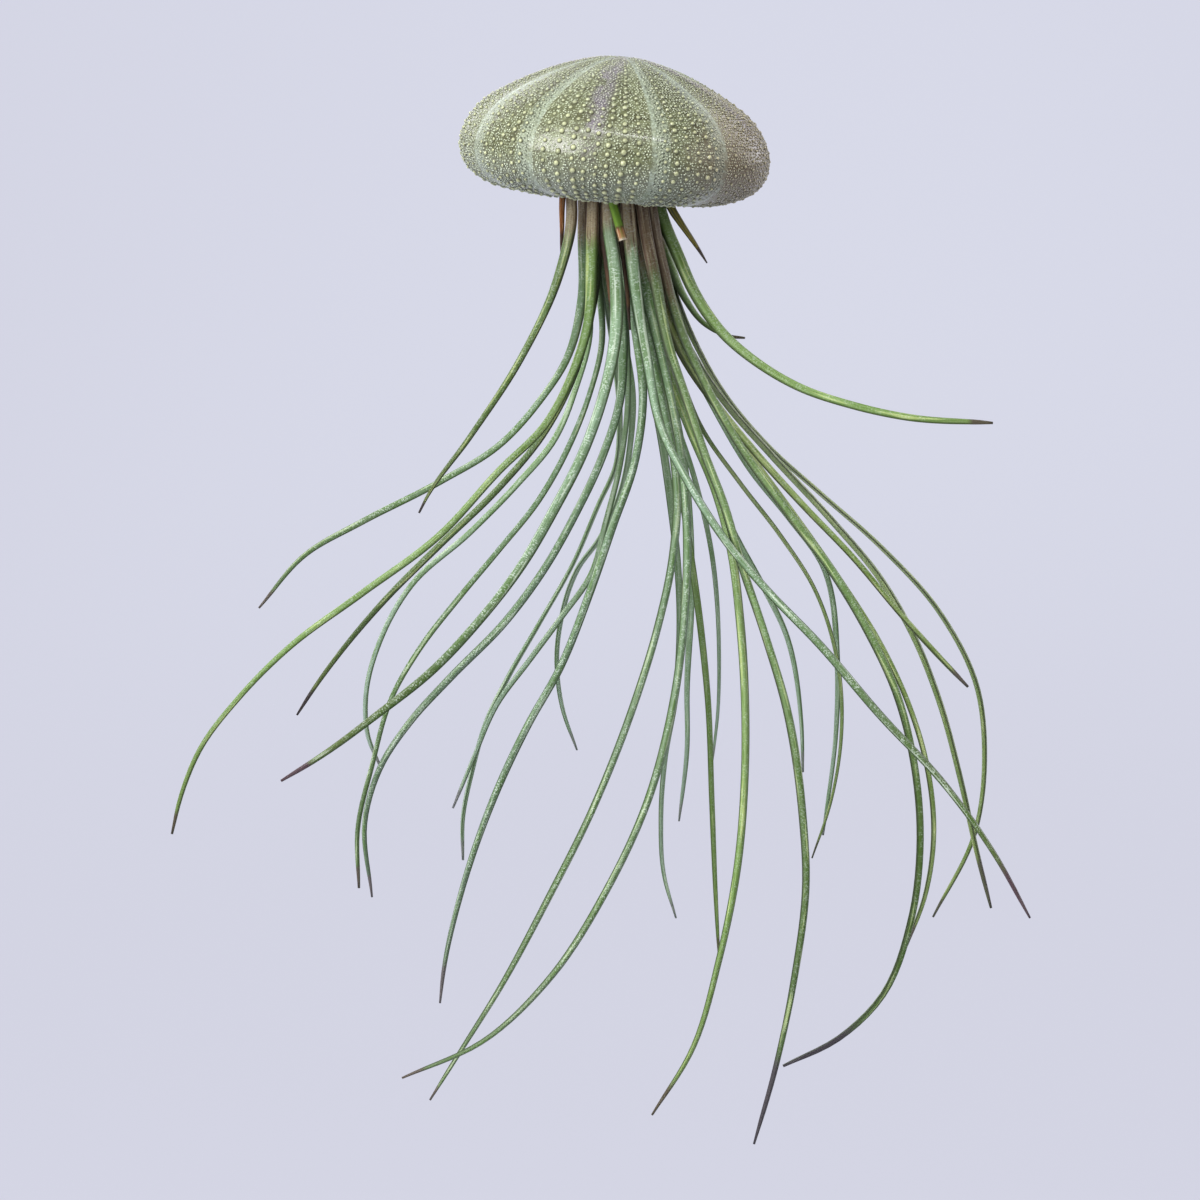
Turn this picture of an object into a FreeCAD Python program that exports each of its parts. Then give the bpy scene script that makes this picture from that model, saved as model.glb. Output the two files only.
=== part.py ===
import FreeCAD, Part
import math
import os

# Air plant holder: a sea urchin shell hung mouth down by a bead under its top hole,
# with a rush-leaved air plant held upside down in the mouth, its leaves fanning out below.
# The origin is the centre of the bead, the point that the whole thing hangs from.
# +Z is up along the axis of the shell, +X is right and -Y is toward the viewer.

# Shell
shell_diameter = 80.0
shell_height = 36.0
shell_wall = 1.3
hole_radius = 1.8
mouth_radius = 14.6

# Hanging bead and its line hole
bead_radius = 2.9
bead_gap = 0.3
line_radius = 0.6

# Crown of the plant, inside the shell above the mouth
crown_clearance = 0.6
crown_rise = 14.1
flange_thickness = 2.0
outer_step = 2.0
ring_step = 3.0
core_step = 2.0
bundle_shift = 1.0
rim_inset = 1.4
ring_pitch = 2.7
step_margin = 0.35
sheath_gap = 0.36
collar_run = 3.2

# Trimmed roots on top of the crown
stub_radius = 0.75
stub_length = 3.6
stub_ring_radius = 7.0
stub_length_shares = (1.0, 0.7, 0.9, 0.6, 1.1, 0.8)

# Leaves
blade_width = 2.2
tip_width = 0.36
plant_drop = 241.8
plant_reach = 110.0

# The photograph: pixels of its 1200 frame, and where the camera stood
view_distance = 1050.0
view_elevation = 9.0
view_roll = 5.0
mouth_px = (611, 198)
lowest_tip_px = (754, 1144)
centre_px = (600, 600)
mm_per_px = plant_drop / (lowest_tip_px[1] - mouth_px[1])

# Outline of the shell: share of the way out from the edge of the top hole or of the
# mouth to the widest place, and share of the height below the top
upper_outline_shares = [
    (0.113, 0.015),
    (0.241, 0.047),
    (0.356, 0.084),
    (0.516, 0.154),
    (0.712, 0.262),
    (0.869, 0.384),
    (0.963, 0.524),
    (1.0, 0.662),
]
lower_outline_shares = [
    (0.976, 0.776),
    (0.906, 0.859),
    (0.776, 0.927),
    (0.606, 0.973),
    (0.409, 0.997),
    (0.213, 1.0),
    (0.087, 0.982),
    (0.0, 0.952),
]

# How a leaf changes along its length: share of the length, share of the way from the
# sheath's width to the blade's, share of the way from the tip's width to that, height of
# the outer curve as a share of the width, height of the channel as a share of the width
long_leaf_shares = [
    (0.0, 0.0, 1.0, 0.34, 0.17),
    (0.05, 0.0, 1.0, 0.34, 0.17),
    (0.1, 0.45, 1.0, 0.36, 0.15),
    (0.16, 0.9, 1.0, 0.4, 0.11),
    (0.25, 1.0, 1.0, 0.44, 0.07),
    (0.36, 1.0, 1.0, 0.45, 0.05),
    (0.48, 1.0, 0.95, 0.46, 0.02),
    (0.6, 1.0, 0.88, 0.47, -0.02),
    (0.72, 1.0, 0.76, 0.48, -0.1),
    (0.83, 1.0, 0.59, 0.48, -0.2),
    (0.92, 1.0, 0.35, 0.5, -0.34),
    (1.0, 1.0, 0.0, 0.5, -0.45),
]
short_leaf_shares = [
    (0.0, 0.0, 1.0, 0.34, 0.15),
    (0.1, 0.0, 1.0, 0.34, 0.15),
    (0.25, 0.2, 1.0, 0.36, 0.12),
    (0.5, 0.8, 1.0, 0.42, 0.04),
    (0.75, 1.0, 0.73, 0.46, -0.1),
    (0.9, 1.0, 0.4, 0.48, -0.3),
    (1.0, 1.0, 0.0, 0.5, -0.45),
]
rim_leaf_shares = [
    (0.0, 0.0, 1.0, 0.34, 0.17),
    (0.2, 0.0, 1.0, 0.34, 0.17),
    (0.32, 0.5, 1.0, 0.38, 0.12),
    (0.45, 1.0, 1.0, 0.42, 0.06),
    (0.62, 1.0, 0.88, 0.46, 0.0),
    (0.8, 1.0, 0.62, 0.48, -0.12),
    (0.92, 1.0, 0.36, 0.5, -0.3),
    (1.0, 1.0, 0.0, 0.5, -0.45),
]
cut_leaf_shares = [
    (0.0, 1.0, 1.0, 0.4, 0.1),
    (0.35, 1.0, 1.0, 0.42, 0.08),
    (0.7, 1.0, 0.98, 0.42, 0.06),
    (1.0, 1.0, 0.93, 0.42, 0.04),
]
dry_sheath_shares = [
    (0.0, 1.0, 1.0, 0.26, 0.06),
    (0.35, 1.0, 1.0, 0.26, 0.06),
    (0.65, 1.0, 0.88, 0.28, 0.04),
    (0.85, 1.0, 0.53, 0.32, 0.0),
    (1.0, 1.0, 0.1, 0.4, -0.2),
]

# Each leaf: ring it grows from, angle round the bundle from the viewer's side toward +X,
# and the pixels that its middle line passes in the photograph, from mouth to tip
leaves = {
    "leaf_left_01": ("outer", -64.3, [
        (584, 222), (583, 300), (567, 360), (541, 400), (500, 445), (440, 482),
        (360, 523), (305, 555), (259, 608),
    ]),
    "leaf_left_02": ("outer", -38.6, [
        (593, 215), (592, 260), (588, 325), (573, 372), (545, 425), (500, 470), (440, 535),
        (360, 595), (290, 647), (240, 697), (200, 750), (180, 800), (172, 834),
    ]),
    "leaf_left_03": ("middle", -54, [
        (597, 225), (596, 280), (587, 330), (572, 380), (545, 432), (500, 487), (440, 545),
        (385, 600), (340, 653), (313, 690), (297, 715),
    ]),
    "leaf_left_04": ("outer", -90, [
        (584, 225), (590, 285), (591, 335), (578, 385), (555, 440), (520, 482), (470, 533),
        (412, 585), (383, 635), (366, 700), (368, 735), (381, 768),
    ]),
    "leaf_left_05": ("middle", -90, [
        (593, 225), (600, 280), (603, 345), (592, 390), (573, 440), (540, 500),
        (500, 550), (460, 598), (420, 650), (393, 697), (373, 765), (358, 830), (359, 888),
    ]),
    "leaf_left_06": ("outer", -12.9, [
        (608, 215), (616, 280), (615, 340), (602, 400), (583, 453), (555, 508), (520, 568),
        (480, 620), (430, 673), (380, 713), (320, 757), (281, 781),
    ]),
    "leaf_left_07": ("inner", -30, [
        (613, 225), (620, 290), (623, 350), (620, 400), (603, 455), (575, 515), (545, 568),
        (505, 622), (450, 678), (410, 722), (380, 768), (365, 820), (372, 897),
    ]),
    "leaf_left_08": ("inner", -90, [
        (612, 225), (622, 280), (628, 340), (629, 400), (622, 460), (606, 525), (593, 572),
        (562, 617), (530, 660), (497, 705), (475, 755), (453, 808),
    ]),
    "leaf_left_09": ("outer", -115.7, [
        (596, 225), (606, 290), (616, 360), (621, 420), (617, 467), (600, 505), (575, 563),
        (540, 625), (508, 680), (488, 720), (473, 770), (463, 820), (463, 860),
    ]),
    "leaf_left_10": ("outer", -141.4, [
        (600, 225), (612, 290), (626, 350), (633, 400), (631, 440), (622, 490), (600, 540),
        (578, 570), (562, 617), (557, 660), (563, 710), (577, 750),
    ]),
    "leaf_left_11": ("middle", -18, [
        (614, 222), (628, 275), (638, 340), (643, 400), (634, 465), (613, 525), (590, 592),
        (560, 668), (528, 725), (493, 800), (462, 890), (443, 975), (440, 1003),
    ]),
    "leaf_right_01": ("inner", 30, [
        (628, 225), (640, 290), (650, 345), (662, 400), (674, 460), (677, 500), (673, 555),
        (657, 630), (632, 710), (590, 815), (550, 895), (500, 988), (460, 1052), (430, 1100),
    ]),
    "leaf_right_02": ("middle", 18, [
        (630, 225), (646, 290), (660, 350), (671, 400), (682, 465), (687, 530), (684, 620),
        (672, 710), (648, 800), (605, 893), (550, 978), (485, 1040), (402, 1078),
    ]),
    "leaf_right_03": ("outer", -167.1, [
        (612, 225), (626, 290), (645, 360), (660, 430), (671, 505), (678, 570), (680, 620),
        (675, 700), (665, 760), (661, 820), (664, 875), (676, 918),
    ]),
    "leaf_right_04": ("outer", 167.1, [
        (628, 225), (645, 300), (665, 370), (682, 450), (690, 530), (691, 600), (687, 690),
        (687, 750), (679, 821),
    ]),
    "leaf_right_05": ("inner", -150, [
        (614, 225), (636, 300), (659, 380), (678, 470), (690, 550), (701, 630), (708, 700),
        (712, 800), (716, 900), (719, 958),
    ]),
    "leaf_right_06": ("middle", -162, [
        (612, 225), (640, 310), (668, 400), (695, 480), (712, 555), (719, 650), (718, 710),
        (712, 765),
    ]),
    "leaf_right_07": ("core", 0, [
        (624, 225), (645, 300), (667, 370), (690, 430), (715, 490), (731, 550), (740, 620),
        (745, 700), (745, 770), (737, 870), (719, 960), (692, 1050), (652, 1115),
    ]),
    "leaf_right_08": ("outer", 38.6, [
        (644, 222), (655, 280), (667, 340), (687, 400), (705, 455), (724, 505), (740, 560),
        (765, 635), (787, 710), (803, 820), (806, 880), (794, 980), (775, 1070), (754, 1144),
    ]),
    "leaf_right_09": ("inner", 150, [
        (628, 225), (648, 300), (675, 380), (702, 450), (730, 525), (762, 585), (786, 635),
        (801, 720), (803, 772),
    ]),
    "leaf_right_10": ("outer", 64.3, [
        (654, 225), (664, 275), (680, 330), (705, 385), (745, 455), (785, 510), (830, 570),
        (866, 630), (896, 695), (914, 770), (919, 840), (910, 920), (880, 998), (840, 1037),
        (783, 1066),
    ]),
    "leaf_right_11": ("inner", 90, [
        (636, 225), (656, 300), (682, 360), (720, 415), (760, 470), (800, 525), (840, 582),
        (880, 645), (908, 705), (926, 765), (933, 840), (925, 895), (907, 945),
    ]),
    "leaf_right_12": ("middle", 162, [
        (630, 225), (650, 300), (678, 370), (700, 425), (740, 483), (780, 535), (815, 590),
        (838, 665), (841, 740), (830, 805), (812, 858),
    ]),
    "leaf_right_13": ("outer", 141.4, [
        (643, 225), (660, 290), (684, 350), (712, 405), (750, 470), (790, 520), (822, 565),
        (837, 660), (836, 730), (823, 835),
    ]),
    "leaf_right_14": ("outer", 115.7, [
        (655, 225), (670, 285), (690, 335), (725, 397), (765, 445), (820, 495), (880, 548),
        (940, 615), (977, 690), (984, 750), (974, 835), (933, 917),
    ]),
    "leaf_right_15": ("outer", 12.9, [
        (629, 222), (637, 300), (648, 365), (660, 425), (688, 482), (725, 540), (765, 588),
        (820, 645), (880, 715), (945, 785), (995, 855), (1030, 918),
    ]),
    "leaf_right_16": ("middle", 126, [
        (641, 225), (660, 290), (686, 345), (722, 400), (770, 455), (830, 520), (880, 580),
        (912, 635), (938, 700), (960, 780), (976, 850), (991, 908),
    ]),
    "leaf_right_17": ("middle", 54, [
        (641, 222), (658, 290), (682, 350), (715, 403), (757, 455), (805, 508), (850, 555),
        (905, 620), (940, 658), (968, 687),
    ]),
    "leaf_right_18": ("outer", 90, [
        (662, 218), (677, 255), (695, 295), (722, 333), (760, 365), (800, 388), (850, 405),
        (910, 418), (993, 423),
    ]),
    "leaf_right_19": ("middle", 90, [
        (652, 222), (668, 265), (683, 298), (705, 325), (727, 336), (745, 338),
    ]),
    "leaf_rim_left": ("rim", -52, [
        (569, 215), (558, 275), (520, 360), (470, 437), (426, 499), (419, 513),
    ]),
    "leaf_rim_dry": ("rim", -78, [(562, 208), (562, 230), (561, 255)]),
    "leaf_rim_right": ("rim", 84, [(672, 208), (692, 243), (707, 262)]),
    "leaf_rim_cut": ("rim", 2, [(616, 215), (623, 240)]),
    "dry_sheath_left": ("between", -25.7, [(602, 225), (607, 265), (613, 325)]),
    "dry_sheath_middle": ("between", 0, [(619, 222), (625, 265), (630, 330)]),
    "dry_sheath_right": ("between", 51.4, [(648, 222), (658, 262), (672, 310)]),
}

# How far each tip lies behind the axis, or in front of it where negative,
# as a share of the plant's reach
tip_depth_shares = {
    "leaf_left_01": -0.05,
    "leaf_left_02": -0.14,
    "leaf_left_03": -0.04,
    "leaf_left_04": 0.4,
    "leaf_left_05": 0.32,
    "leaf_left_06": -0.68,
    "leaf_left_07": 0.09,
    "leaf_left_08": 0.42,
    "leaf_left_09": 0.5,
    "leaf_left_10": 0.78,
    "leaf_left_11": -0.1,
    "leaf_right_01": -0.36,
    "leaf_right_02": -0.5,
    "leaf_right_03": 0.73,
    "leaf_right_04": 0.82,
    "leaf_right_05": 0.34,
    "leaf_right_06": 0.68,
    "leaf_right_07": -0.45,
    "leaf_right_08": -0.55,
    "leaf_right_09": 0.45,
    "leaf_right_10": -0.45,
    "leaf_right_11": 0.0,
    "leaf_right_12": 0.56,
    "leaf_right_13": 0.64,
    "leaf_right_14": 0.45,
    "leaf_right_15": -0.5,
    "leaf_right_16": 0.08,
    "leaf_right_17": -0.12,
    "leaf_right_18": -0.18,
    "leaf_right_19": 0.09,
    "leaf_rim_left": -0.27,
    "leaf_rim_dry": -0.03,
    "leaf_rim_right": 0.0,
    "leaf_rim_cut": -0.12,
    "dry_sheath_left": -0.06,
    "dry_sheath_middle": -0.078,
    "dry_sheath_right": -0.04,
}

# Blade width of the leaves that differ from the rest, as a share of the usual width
blade_width_shares = {
    "leaf_left_06": 1.3,
    "leaf_right_12": 0.62,
    "leaf_right_06": 0.7,
    "leaf_right_18": 1.15,
    "leaf_right_19": 0.55,
    "leaf_rim_dry": 0.68,
    "leaf_rim_right": 0.85,
    "leaf_rim_cut": 0.92,
    "dry_sheath_left": 0.85,
    "dry_sheath_middle": 0.8,
    "dry_sheath_right": 0.85,
}
rim_sheath_share = 1.3

# Angles that the leaves at the rim face, where they don't face straight out
facing_angles = {"leaf_rim_left": -25, "leaf_rim_dry": -25, "leaf_rim_right": 35}

# A leaf runs down first and then spreads: powers of its share of length
spread_power = 1.5
spread_late = 1.2

ring_counts = {"outer": 14, "middle": 10, "inner": 6}
leaf_shares = {
    "leaf_rim_left": rim_leaf_shares,
    "leaf_rim_dry": short_leaf_shares,
    "leaf_rim_right": short_leaf_shares,
    "leaf_rim_cut": cut_leaf_shares,
    "dry_sheath_left": dry_sheath_shares,
    "dry_sheath_middle": dry_sheath_shares,
    "dry_sheath_right": dry_sheath_shares,
}

# Heights and radii that follow from the sizes above
shell_radius = shell_diameter / 2
seat_height = math.sqrt((bead_radius + bead_gap) ** 2 - hole_radius**2)
top_z = seat_height + shell_wall
bottom_z = top_z - shell_height
flange_z = bottom_z + crown_rise
flange_radius = mouth_radius - crown_clearance
rim_radius = flange_radius - rim_inset
outer_ring_radius = rim_radius - bundle_shift - ring_pitch
ring_radii = {
    "rim": rim_radius,
    "outer": outer_ring_radius,
    "between": outer_ring_radius - ring_pitch / 3,
    "middle": outer_ring_radius - ring_pitch,
    "inner": outer_ring_radius - 2 * ring_pitch,
    "core": 0,
}
ring_tops = {
    "rim": flange_z,
    "outer": flange_z - outer_step,
    "between": flange_z - outer_step,
    "middle": flange_z - outer_step - ring_step,
    "inner": flange_z - outer_step - 2 * ring_step,
    "core": flange_z - outer_step - 2 * ring_step - core_step,
}


def lengthwise(points):
    """Distance along a run of points at each of them."""
    reached = [0.0]
    for before, after in zip(points, points[1:]):
        reached.append(reached[-1] + math.dist(before, after))
    return reached


def photo_to_model(px, py, depth):
    """The point that the photograph shows at this pixel, at this depth behind the axis."""
    tilt = math.radians(view_elevation)
    roll = math.radians(view_roll)
    ahead = FreeCAD.Vector(0, math.cos(tilt), -math.sin(tilt))
    level = FreeCAD.Vector(1, 0, 0)
    rise = FreeCAD.Vector(0, math.sin(tilt), math.cos(tilt))
    right = level * math.cos(roll) + rise * math.sin(roll)
    up = rise * math.cos(roll) - level * math.sin(roll)
    mouth = FreeCAD.Vector(0, 0, bottom_z)
    aim = mouth + (
        right * (centre_px[0] - mouth_px[0]) - up * (centre_px[1] - mouth_px[1])
    ) * mm_per_px
    camera = aim - ahead * view_distance
    sight = ahead * view_distance + (
        right * (px - centre_px[0]) - up * (py - centre_px[1])
    ) * mm_per_px
    return camera + sight * ((depth - camera.y) / sight.y)


def way_out(angle):
    """The level way at this angle round the bundle."""
    turn = math.radians(angle)
    return FreeCAD.Vector(math.sin(turn), -math.cos(turn), 0)


def ring_place(ring, angle):
    """Where a leaf grows from the crown."""
    shift = 0 if ring == "rim" else bundle_shift
    return way_out(angle) * ring_radii[ring] + FreeCAD.Vector(shift, 0, ring_tops[ring])


def leaf_route(name):
    """Points of a leaf's middle line, from the crown to the tip."""
    ring, angle, pixels = leaves[name]
    base = ring_place(ring, angle)
    below = base - FreeCAD.Vector(0, 0, collar_run)
    tip_depth = tip_depth_shares[name] * plant_reach
    reached = lengthwise(pixels)
    points = [base, below]
    if ring == "rim":
        points.append(FreeCAD.Vector(base.x, base.y, bottom_z))
    for (px, py), length in zip(pixels, reached):
        share = length / reached[-1]
        spread = share**spread_power * (1 + spread_late * (1 - share))
        points.append(photo_to_model(px, py, base.y + (tip_depth - base.y) * spread))
    return points


def smooth_route(points, count_per_run=12):
    """A smooth line through the points, with its direction at each place on it."""
    knots = lengthwise(points)
    slopes = []
    for i, point in enumerate(points):
        before = max(i - 1, 0)
        after = min(i + 1, len(points) - 1)
        if before == i or after == i:
            slopes.append((points[after] - points[before]) * (1 / (knots[after] - knots[before])))
            continue
        run_in = knots[i] - knots[before]
        run_out = knots[after] - knots[i]
        slope_in = (point - points[before]) * (1 / run_in)
        slope_out = (points[after] - point) * (1 / run_out)
        slopes.append((slope_in * run_out + slope_out * run_in) * (1 / (run_in + run_out)))
    places = []
    ways = []
    for i in range(len(points) - 1):
        run = knots[i + 1] - knots[i]
        last = i == len(points) - 2
        for step in range(count_per_run + (1 if last else 0)):
            t = step / count_per_run
            start = points[i] * (2 * t**3 - 3 * t**2 + 1)
            leave = slopes[i] * (run * (t**3 - 2 * t**2 + t))
            end = points[i + 1] * (3 * t**2 - 2 * t**3)
            arrive = slopes[i + 1] * (run * (t**3 - t**2))
            places.append(start + leave + end + arrive)
            way = (
                (points[i] - points[i + 1]) * ((6 * t**2 - 6 * t) / run)
                + slopes[i] * (3 * t**2 - 4 * t + 1)
                + slopes[i + 1] * (3 * t**2 - 2 * t)
            )
            ways.append(way.normalize())
    return places, ways


def leaf_stations(name):
    """Sections of a leaf: middle point, way across, way outward, width, outer and inner height."""
    ring, angle, pixels = leaves[name]
    places, ways = smooth_route(leaf_route(name))
    reached = lengthwise(places)
    blade = blade_width * blade_width_shares.get(name, 1)
    if ring in ring_counts:
        sheath = 2 * ring_radii[ring] * math.tan(math.pi / ring_counts[ring]) - sheath_gap
    else:
        sheath = blade * rim_sheath_share
    stations = []
    facing = way_out(facing_angles.get(name, angle))
    walked = 0
    for share, blade_share, width_share, outer_share, inner_share in leaf_shares.get(
        name, long_leaf_shares
    ):
        while walked < len(places) - 2 and reached[walked + 1] < share * reached[-1]:
            walked += 1
            facing = facing - ways[walked] * facing.dot(ways[walked])
            facing.normalize()
        part = (share * reached[-1] - reached[walked]) / (reached[walked + 1] - reached[walked])
        place = places[walked] * (1 - part) + places[walked + 1] * part
        way = (ways[walked] * (1 - part) + ways[walked + 1] * part).normalize()
        across = way.cross(facing).normalize()
        full_width = sheath + (blade - sheath) * blade_share
        width = tip_width + (full_width - tip_width) * width_share
        stations.append(
            (place, across, across.cross(way), width, width * outer_share, width * inner_share)
        )
    return stations


def leaf_section(middle, across, facing, width, outer_height, inner_height):
    """A crescent: an outer curve and an inner one that share their two ends."""
    left = middle - across * (width / 2)
    right = middle + across * (width / 2)
    outer = Part.BezierCurve()
    outer.setPoles([left, middle + facing * (2 * outer_height), right])
    inner = Part.BezierCurve()
    inner.setPoles([right, middle + facing * (2 * inner_height), left])
    return Part.Wire([outer.toShape(), inner.toShape()])


def leaf_solid(name):
    """A leaf lofted through its sections."""
    sections = [leaf_section(*station) for station in leaf_stations(name)]
    return Part.makeLoft(sections, True, False)


def shell_solid():
    """The urchin shell: a thin domed wall with a small top hole and a wide mouth."""
    outline = [FreeCAD.Vector(hole_radius, 0, top_z)]
    for edge, shares in ((hole_radius, upper_outline_shares), (mouth_radius, lower_outline_shares)):
        for way_share, drop_share in shares:
            radius = edge + (shell_radius - edge) * way_share
            outline.append(FreeCAD.Vector(radius, 0, top_z - shell_height * drop_share))
    outer = Part.BSplineCurve()
    outer.interpolate(outline)
    inside = []
    for point in outline:
        along = outer.tangent(outer.parameter(point))[0]
        inward = FreeCAD.Vector(along.z, 0, -along.x)
        inside.append(point + inward * shell_wall)
    inside[0] = FreeCAD.Vector(hole_radius, 0, top_z - shell_wall)
    inside[-1] = FreeCAD.Vector(mouth_radius, 0, outline[-1].z + shell_wall)
    inner = Part.BSplineCurve()
    inner.interpolate(inside[::-1])
    wall = Part.Wire([
        outer.toShape(),
        Part.LineSegment(outline[-1], inside[-1]).toShape(),
        inner.toShape(),
        Part.LineSegment(inside[0], outline[0]).toShape(),
    ])
    return Part.Face(wall).revolve(FreeCAD.Vector(0, 0, 0), FreeCAD.Vector(0, 0, 1), 360)


def bead_solid():
    """The stop bead that the shell rests on, drilled for its hanging line."""
    bore = Part.makeCylinder(line_radius, 2 * bead_radius, FreeCAD.Vector(0, 0, -bead_radius))
    return Part.makeSphere(bead_radius).cut(bore)


def disc(radius, shift, low, high):
    """An upright round disc between two heights."""
    return Part.makeCylinder(radius, high - low, FreeCAD.Vector(shift, 0, low))


def crown_solid():
    """The crown: discs that step in, each with a ring of leaves under it."""
    crown = disc(flange_radius, 0, flange_z, flange_z + flange_thickness)
    top = flange_z
    for ring in ("outer", "middle", "inner", "core"):
        radius = ring_radii[ring] + ring_pitch / 2 + step_margin
        crown = crown.fuse(disc(radius, bundle_shift, ring_tops[ring], top))
        top = ring_tops[ring]
    return crown.removeSplitter()


def root_solids():
    """Trimmed root stubs standing on the crown."""
    top = flange_z + flange_thickness
    stubs = []
    for i, length_share in enumerate(stub_length_shares):
        turn = 2 * math.pi * i / len(stub_length_shares)
        foot = FreeCAD.Vector(math.cos(turn), math.sin(turn), 0) * stub_ring_radius
        foot.z = top
        stubs.append(Part.makeCone(stub_radius, stub_radius / 2, stub_length * length_share, foot))
    stubs.append(Part.makeCone(stub_radius * 2, stub_radius, stub_length, FreeCAD.Vector(0, 0, top)))
    return Part.makeCompound(stubs)


def save(name, shape):
    """Write one sub-part, and say how it came out."""
    shape.exportStep(os.path.join("parts", name + ".step"))
    print(name, len(shape.Solids), "valid" if shape.isValid() else "BROKEN", round(shape.Volume, 1))


def build():
    os.makedirs("parts", exist_ok=True)
    save("shell", shell_solid())
    save("stop_bead", bead_solid())
    save("crown", crown_solid())
    save("root_stubs", root_solids())
    for name in leaves:
        save(name, leaf_solid(name))


build()
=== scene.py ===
import bmesh
import bpy
import random
from math import atan2, cos, degrees, hypot, pi, radians, sin, tan
from mathutils import Matrix, Vector


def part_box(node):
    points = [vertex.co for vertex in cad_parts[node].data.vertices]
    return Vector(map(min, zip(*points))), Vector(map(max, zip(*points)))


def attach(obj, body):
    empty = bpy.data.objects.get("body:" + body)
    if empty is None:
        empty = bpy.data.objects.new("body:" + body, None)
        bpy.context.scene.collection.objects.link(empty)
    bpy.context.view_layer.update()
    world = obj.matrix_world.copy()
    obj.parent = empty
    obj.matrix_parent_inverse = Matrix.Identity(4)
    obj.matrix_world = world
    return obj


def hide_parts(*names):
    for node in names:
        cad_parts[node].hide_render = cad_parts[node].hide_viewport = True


# Looks of the air plant holder: a sea urchin shell with an air plant held upside down in it.
# Lengths are in metres and turns in degrees. Each leaf runs along the line of its CAD leaf.

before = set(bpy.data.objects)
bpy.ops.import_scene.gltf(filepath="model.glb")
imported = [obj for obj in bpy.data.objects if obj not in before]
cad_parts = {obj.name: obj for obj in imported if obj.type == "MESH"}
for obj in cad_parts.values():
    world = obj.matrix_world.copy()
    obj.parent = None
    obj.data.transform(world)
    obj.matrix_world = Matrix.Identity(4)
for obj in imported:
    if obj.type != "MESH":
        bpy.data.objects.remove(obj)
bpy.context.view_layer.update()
print("frame loaded:", len(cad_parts), "nodes")


# Small tools

def tone(colour):
    # a colour as it looks on screen, three parts of 0 to 255, made linear
    linear = [pow((part / 255 + 0.055) / 1.055, 2.4) for part in colour]
    return (*linear, 1.0)


def mixed(low, high, share):
    return low + (high - low) * share


def eased(low, high, value):
    # 0 at low, 1 at high, smooth between, and level beyond either
    share = min(max((value - low) / (high - low), 0.0), 1.0)
    return share * share * (3 - 2 * share)


def formAt(form, share):
    # values of a table at a place between two of its rows, which start with their own place
    for before, after in zip(form, form[1:]):
        if share <= after[0]:
            part = (share - before[0]) / (after[0] - before[0])
            return [mixed(low, high, part) for low, high in zip(before[1:], after[1:])]
    return form[-1][1:]


def lengthwise(points):
    # distance walked along a run of points, at each of them
    reached = [0.0]
    for before, after in zip(points, points[1:]):
        reached.append(reached[-1] + (after - before).length)
    return reached


def smoothRoute(points, stepsPerRun):
    # a smooth line through the points, with its direction at each place on it
    knots = lengthwise(points)
    last = len(points) - 1
    slopes = []
    for i, point in enumerate(points):
        if i in (0, last):
            near = 1 if i == 0 else last - 1
            slopes.append((points[near] - point) / (knots[near] - knots[i]))
            continue
        runIn = knots[i] - knots[i - 1]
        runOut = knots[i + 1] - knots[i]
        slopeIn = (point - points[i - 1]) / runIn
        slopeOut = (points[i + 1] - point) / runOut
        slopes.append((slopeIn * runOut + slopeOut * runIn) / (runIn + runOut))
    places = []
    ways = []
    for i in range(last):
        run = knots[i + 1] - knots[i]
        for step in range(stepsPerRun + (1 if i == last - 1 else 0)):
            t = step / stepsPerRun
            place = points[i] * (2 * t**3 - 3 * t**2 + 1) + slopes[i] * (run * (t**3 - 2 * t**2 + t))
            place += points[i + 1] * (3 * t**2 - 2 * t**3) + slopes[i + 1] * (run * (t**3 - t**2))
            way = (points[i] - points[i + 1]) * ((6 * t**2 - 6 * t) / run)
            way += slopes[i] * (3 * t**2 - 4 * t + 1) + slopes[i + 1] * (3 * t**2 - 2 * t)
            places.append(place)
            ways.append(way.normalized())
    return places, ways


def meshFrom(name, bm):
    mesh = bpy.data.meshes.new(name)
    bm.to_mesh(mesh)
    bm.free()
    return mesh


def linked(name, data):
    thing = bpy.data.objects.new(name, data)
    bpy.context.scene.collection.objects.link(thing)
    return thing


def smoothObject(name, bm, material):
    mesh = meshFrom(name, bm)
    mesh.shade_smooth()
    mesh.materials.append(material)
    return linked(name, mesh)


def finishedPiece(name, bm, material, body, nodes=()):
    # a finished mesh becomes a piece that rides on its body
    piece = smoothObject(name, bm, material)
    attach(piece, body)
    if nodes:
        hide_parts(*nodes)


# Node helpers

bench = {}  # "tree" is the node tree that new nodes go into


def addNode(kind, **settings):
    node = bench["tree"].nodes.new(kind)
    for key, value in settings.items():
        setattr(node, key, value)
    return node


def plug(source, socket):
    # a socket is linked, a tone is made linear, and a number is set as the socket's own value
    if isinstance(source, bpy.types.NodeSocket):
        bench["tree"].links.new(source, socket)
    elif isinstance(source, tuple):
        socket.default_value = tone(source)
    else:
        socket.default_value = source


def calc(operation, *values, clamped=False):
    node = addNode("ShaderNodeMath", operation=operation, use_clamp=clamped)
    for value, socket in zip(values, node.inputs):
        plug(value, socket)
    return node.outputs[0]


def times(first, second):
    return calc("MULTIPLY", first, second)


def timesPlus(first, second, added):
    return calc("MULTIPLY_ADD", first, second, added)


def mixTone(share, first, second):
    # each of the two is a socket or a tone
    node = addNode("ShaderNodeMix", data_type="RGBA")
    plug(share, node.inputs[0])
    plug(first, node.inputs[6])
    plug(second, node.inputs[7])
    return node.outputs[2]


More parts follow.
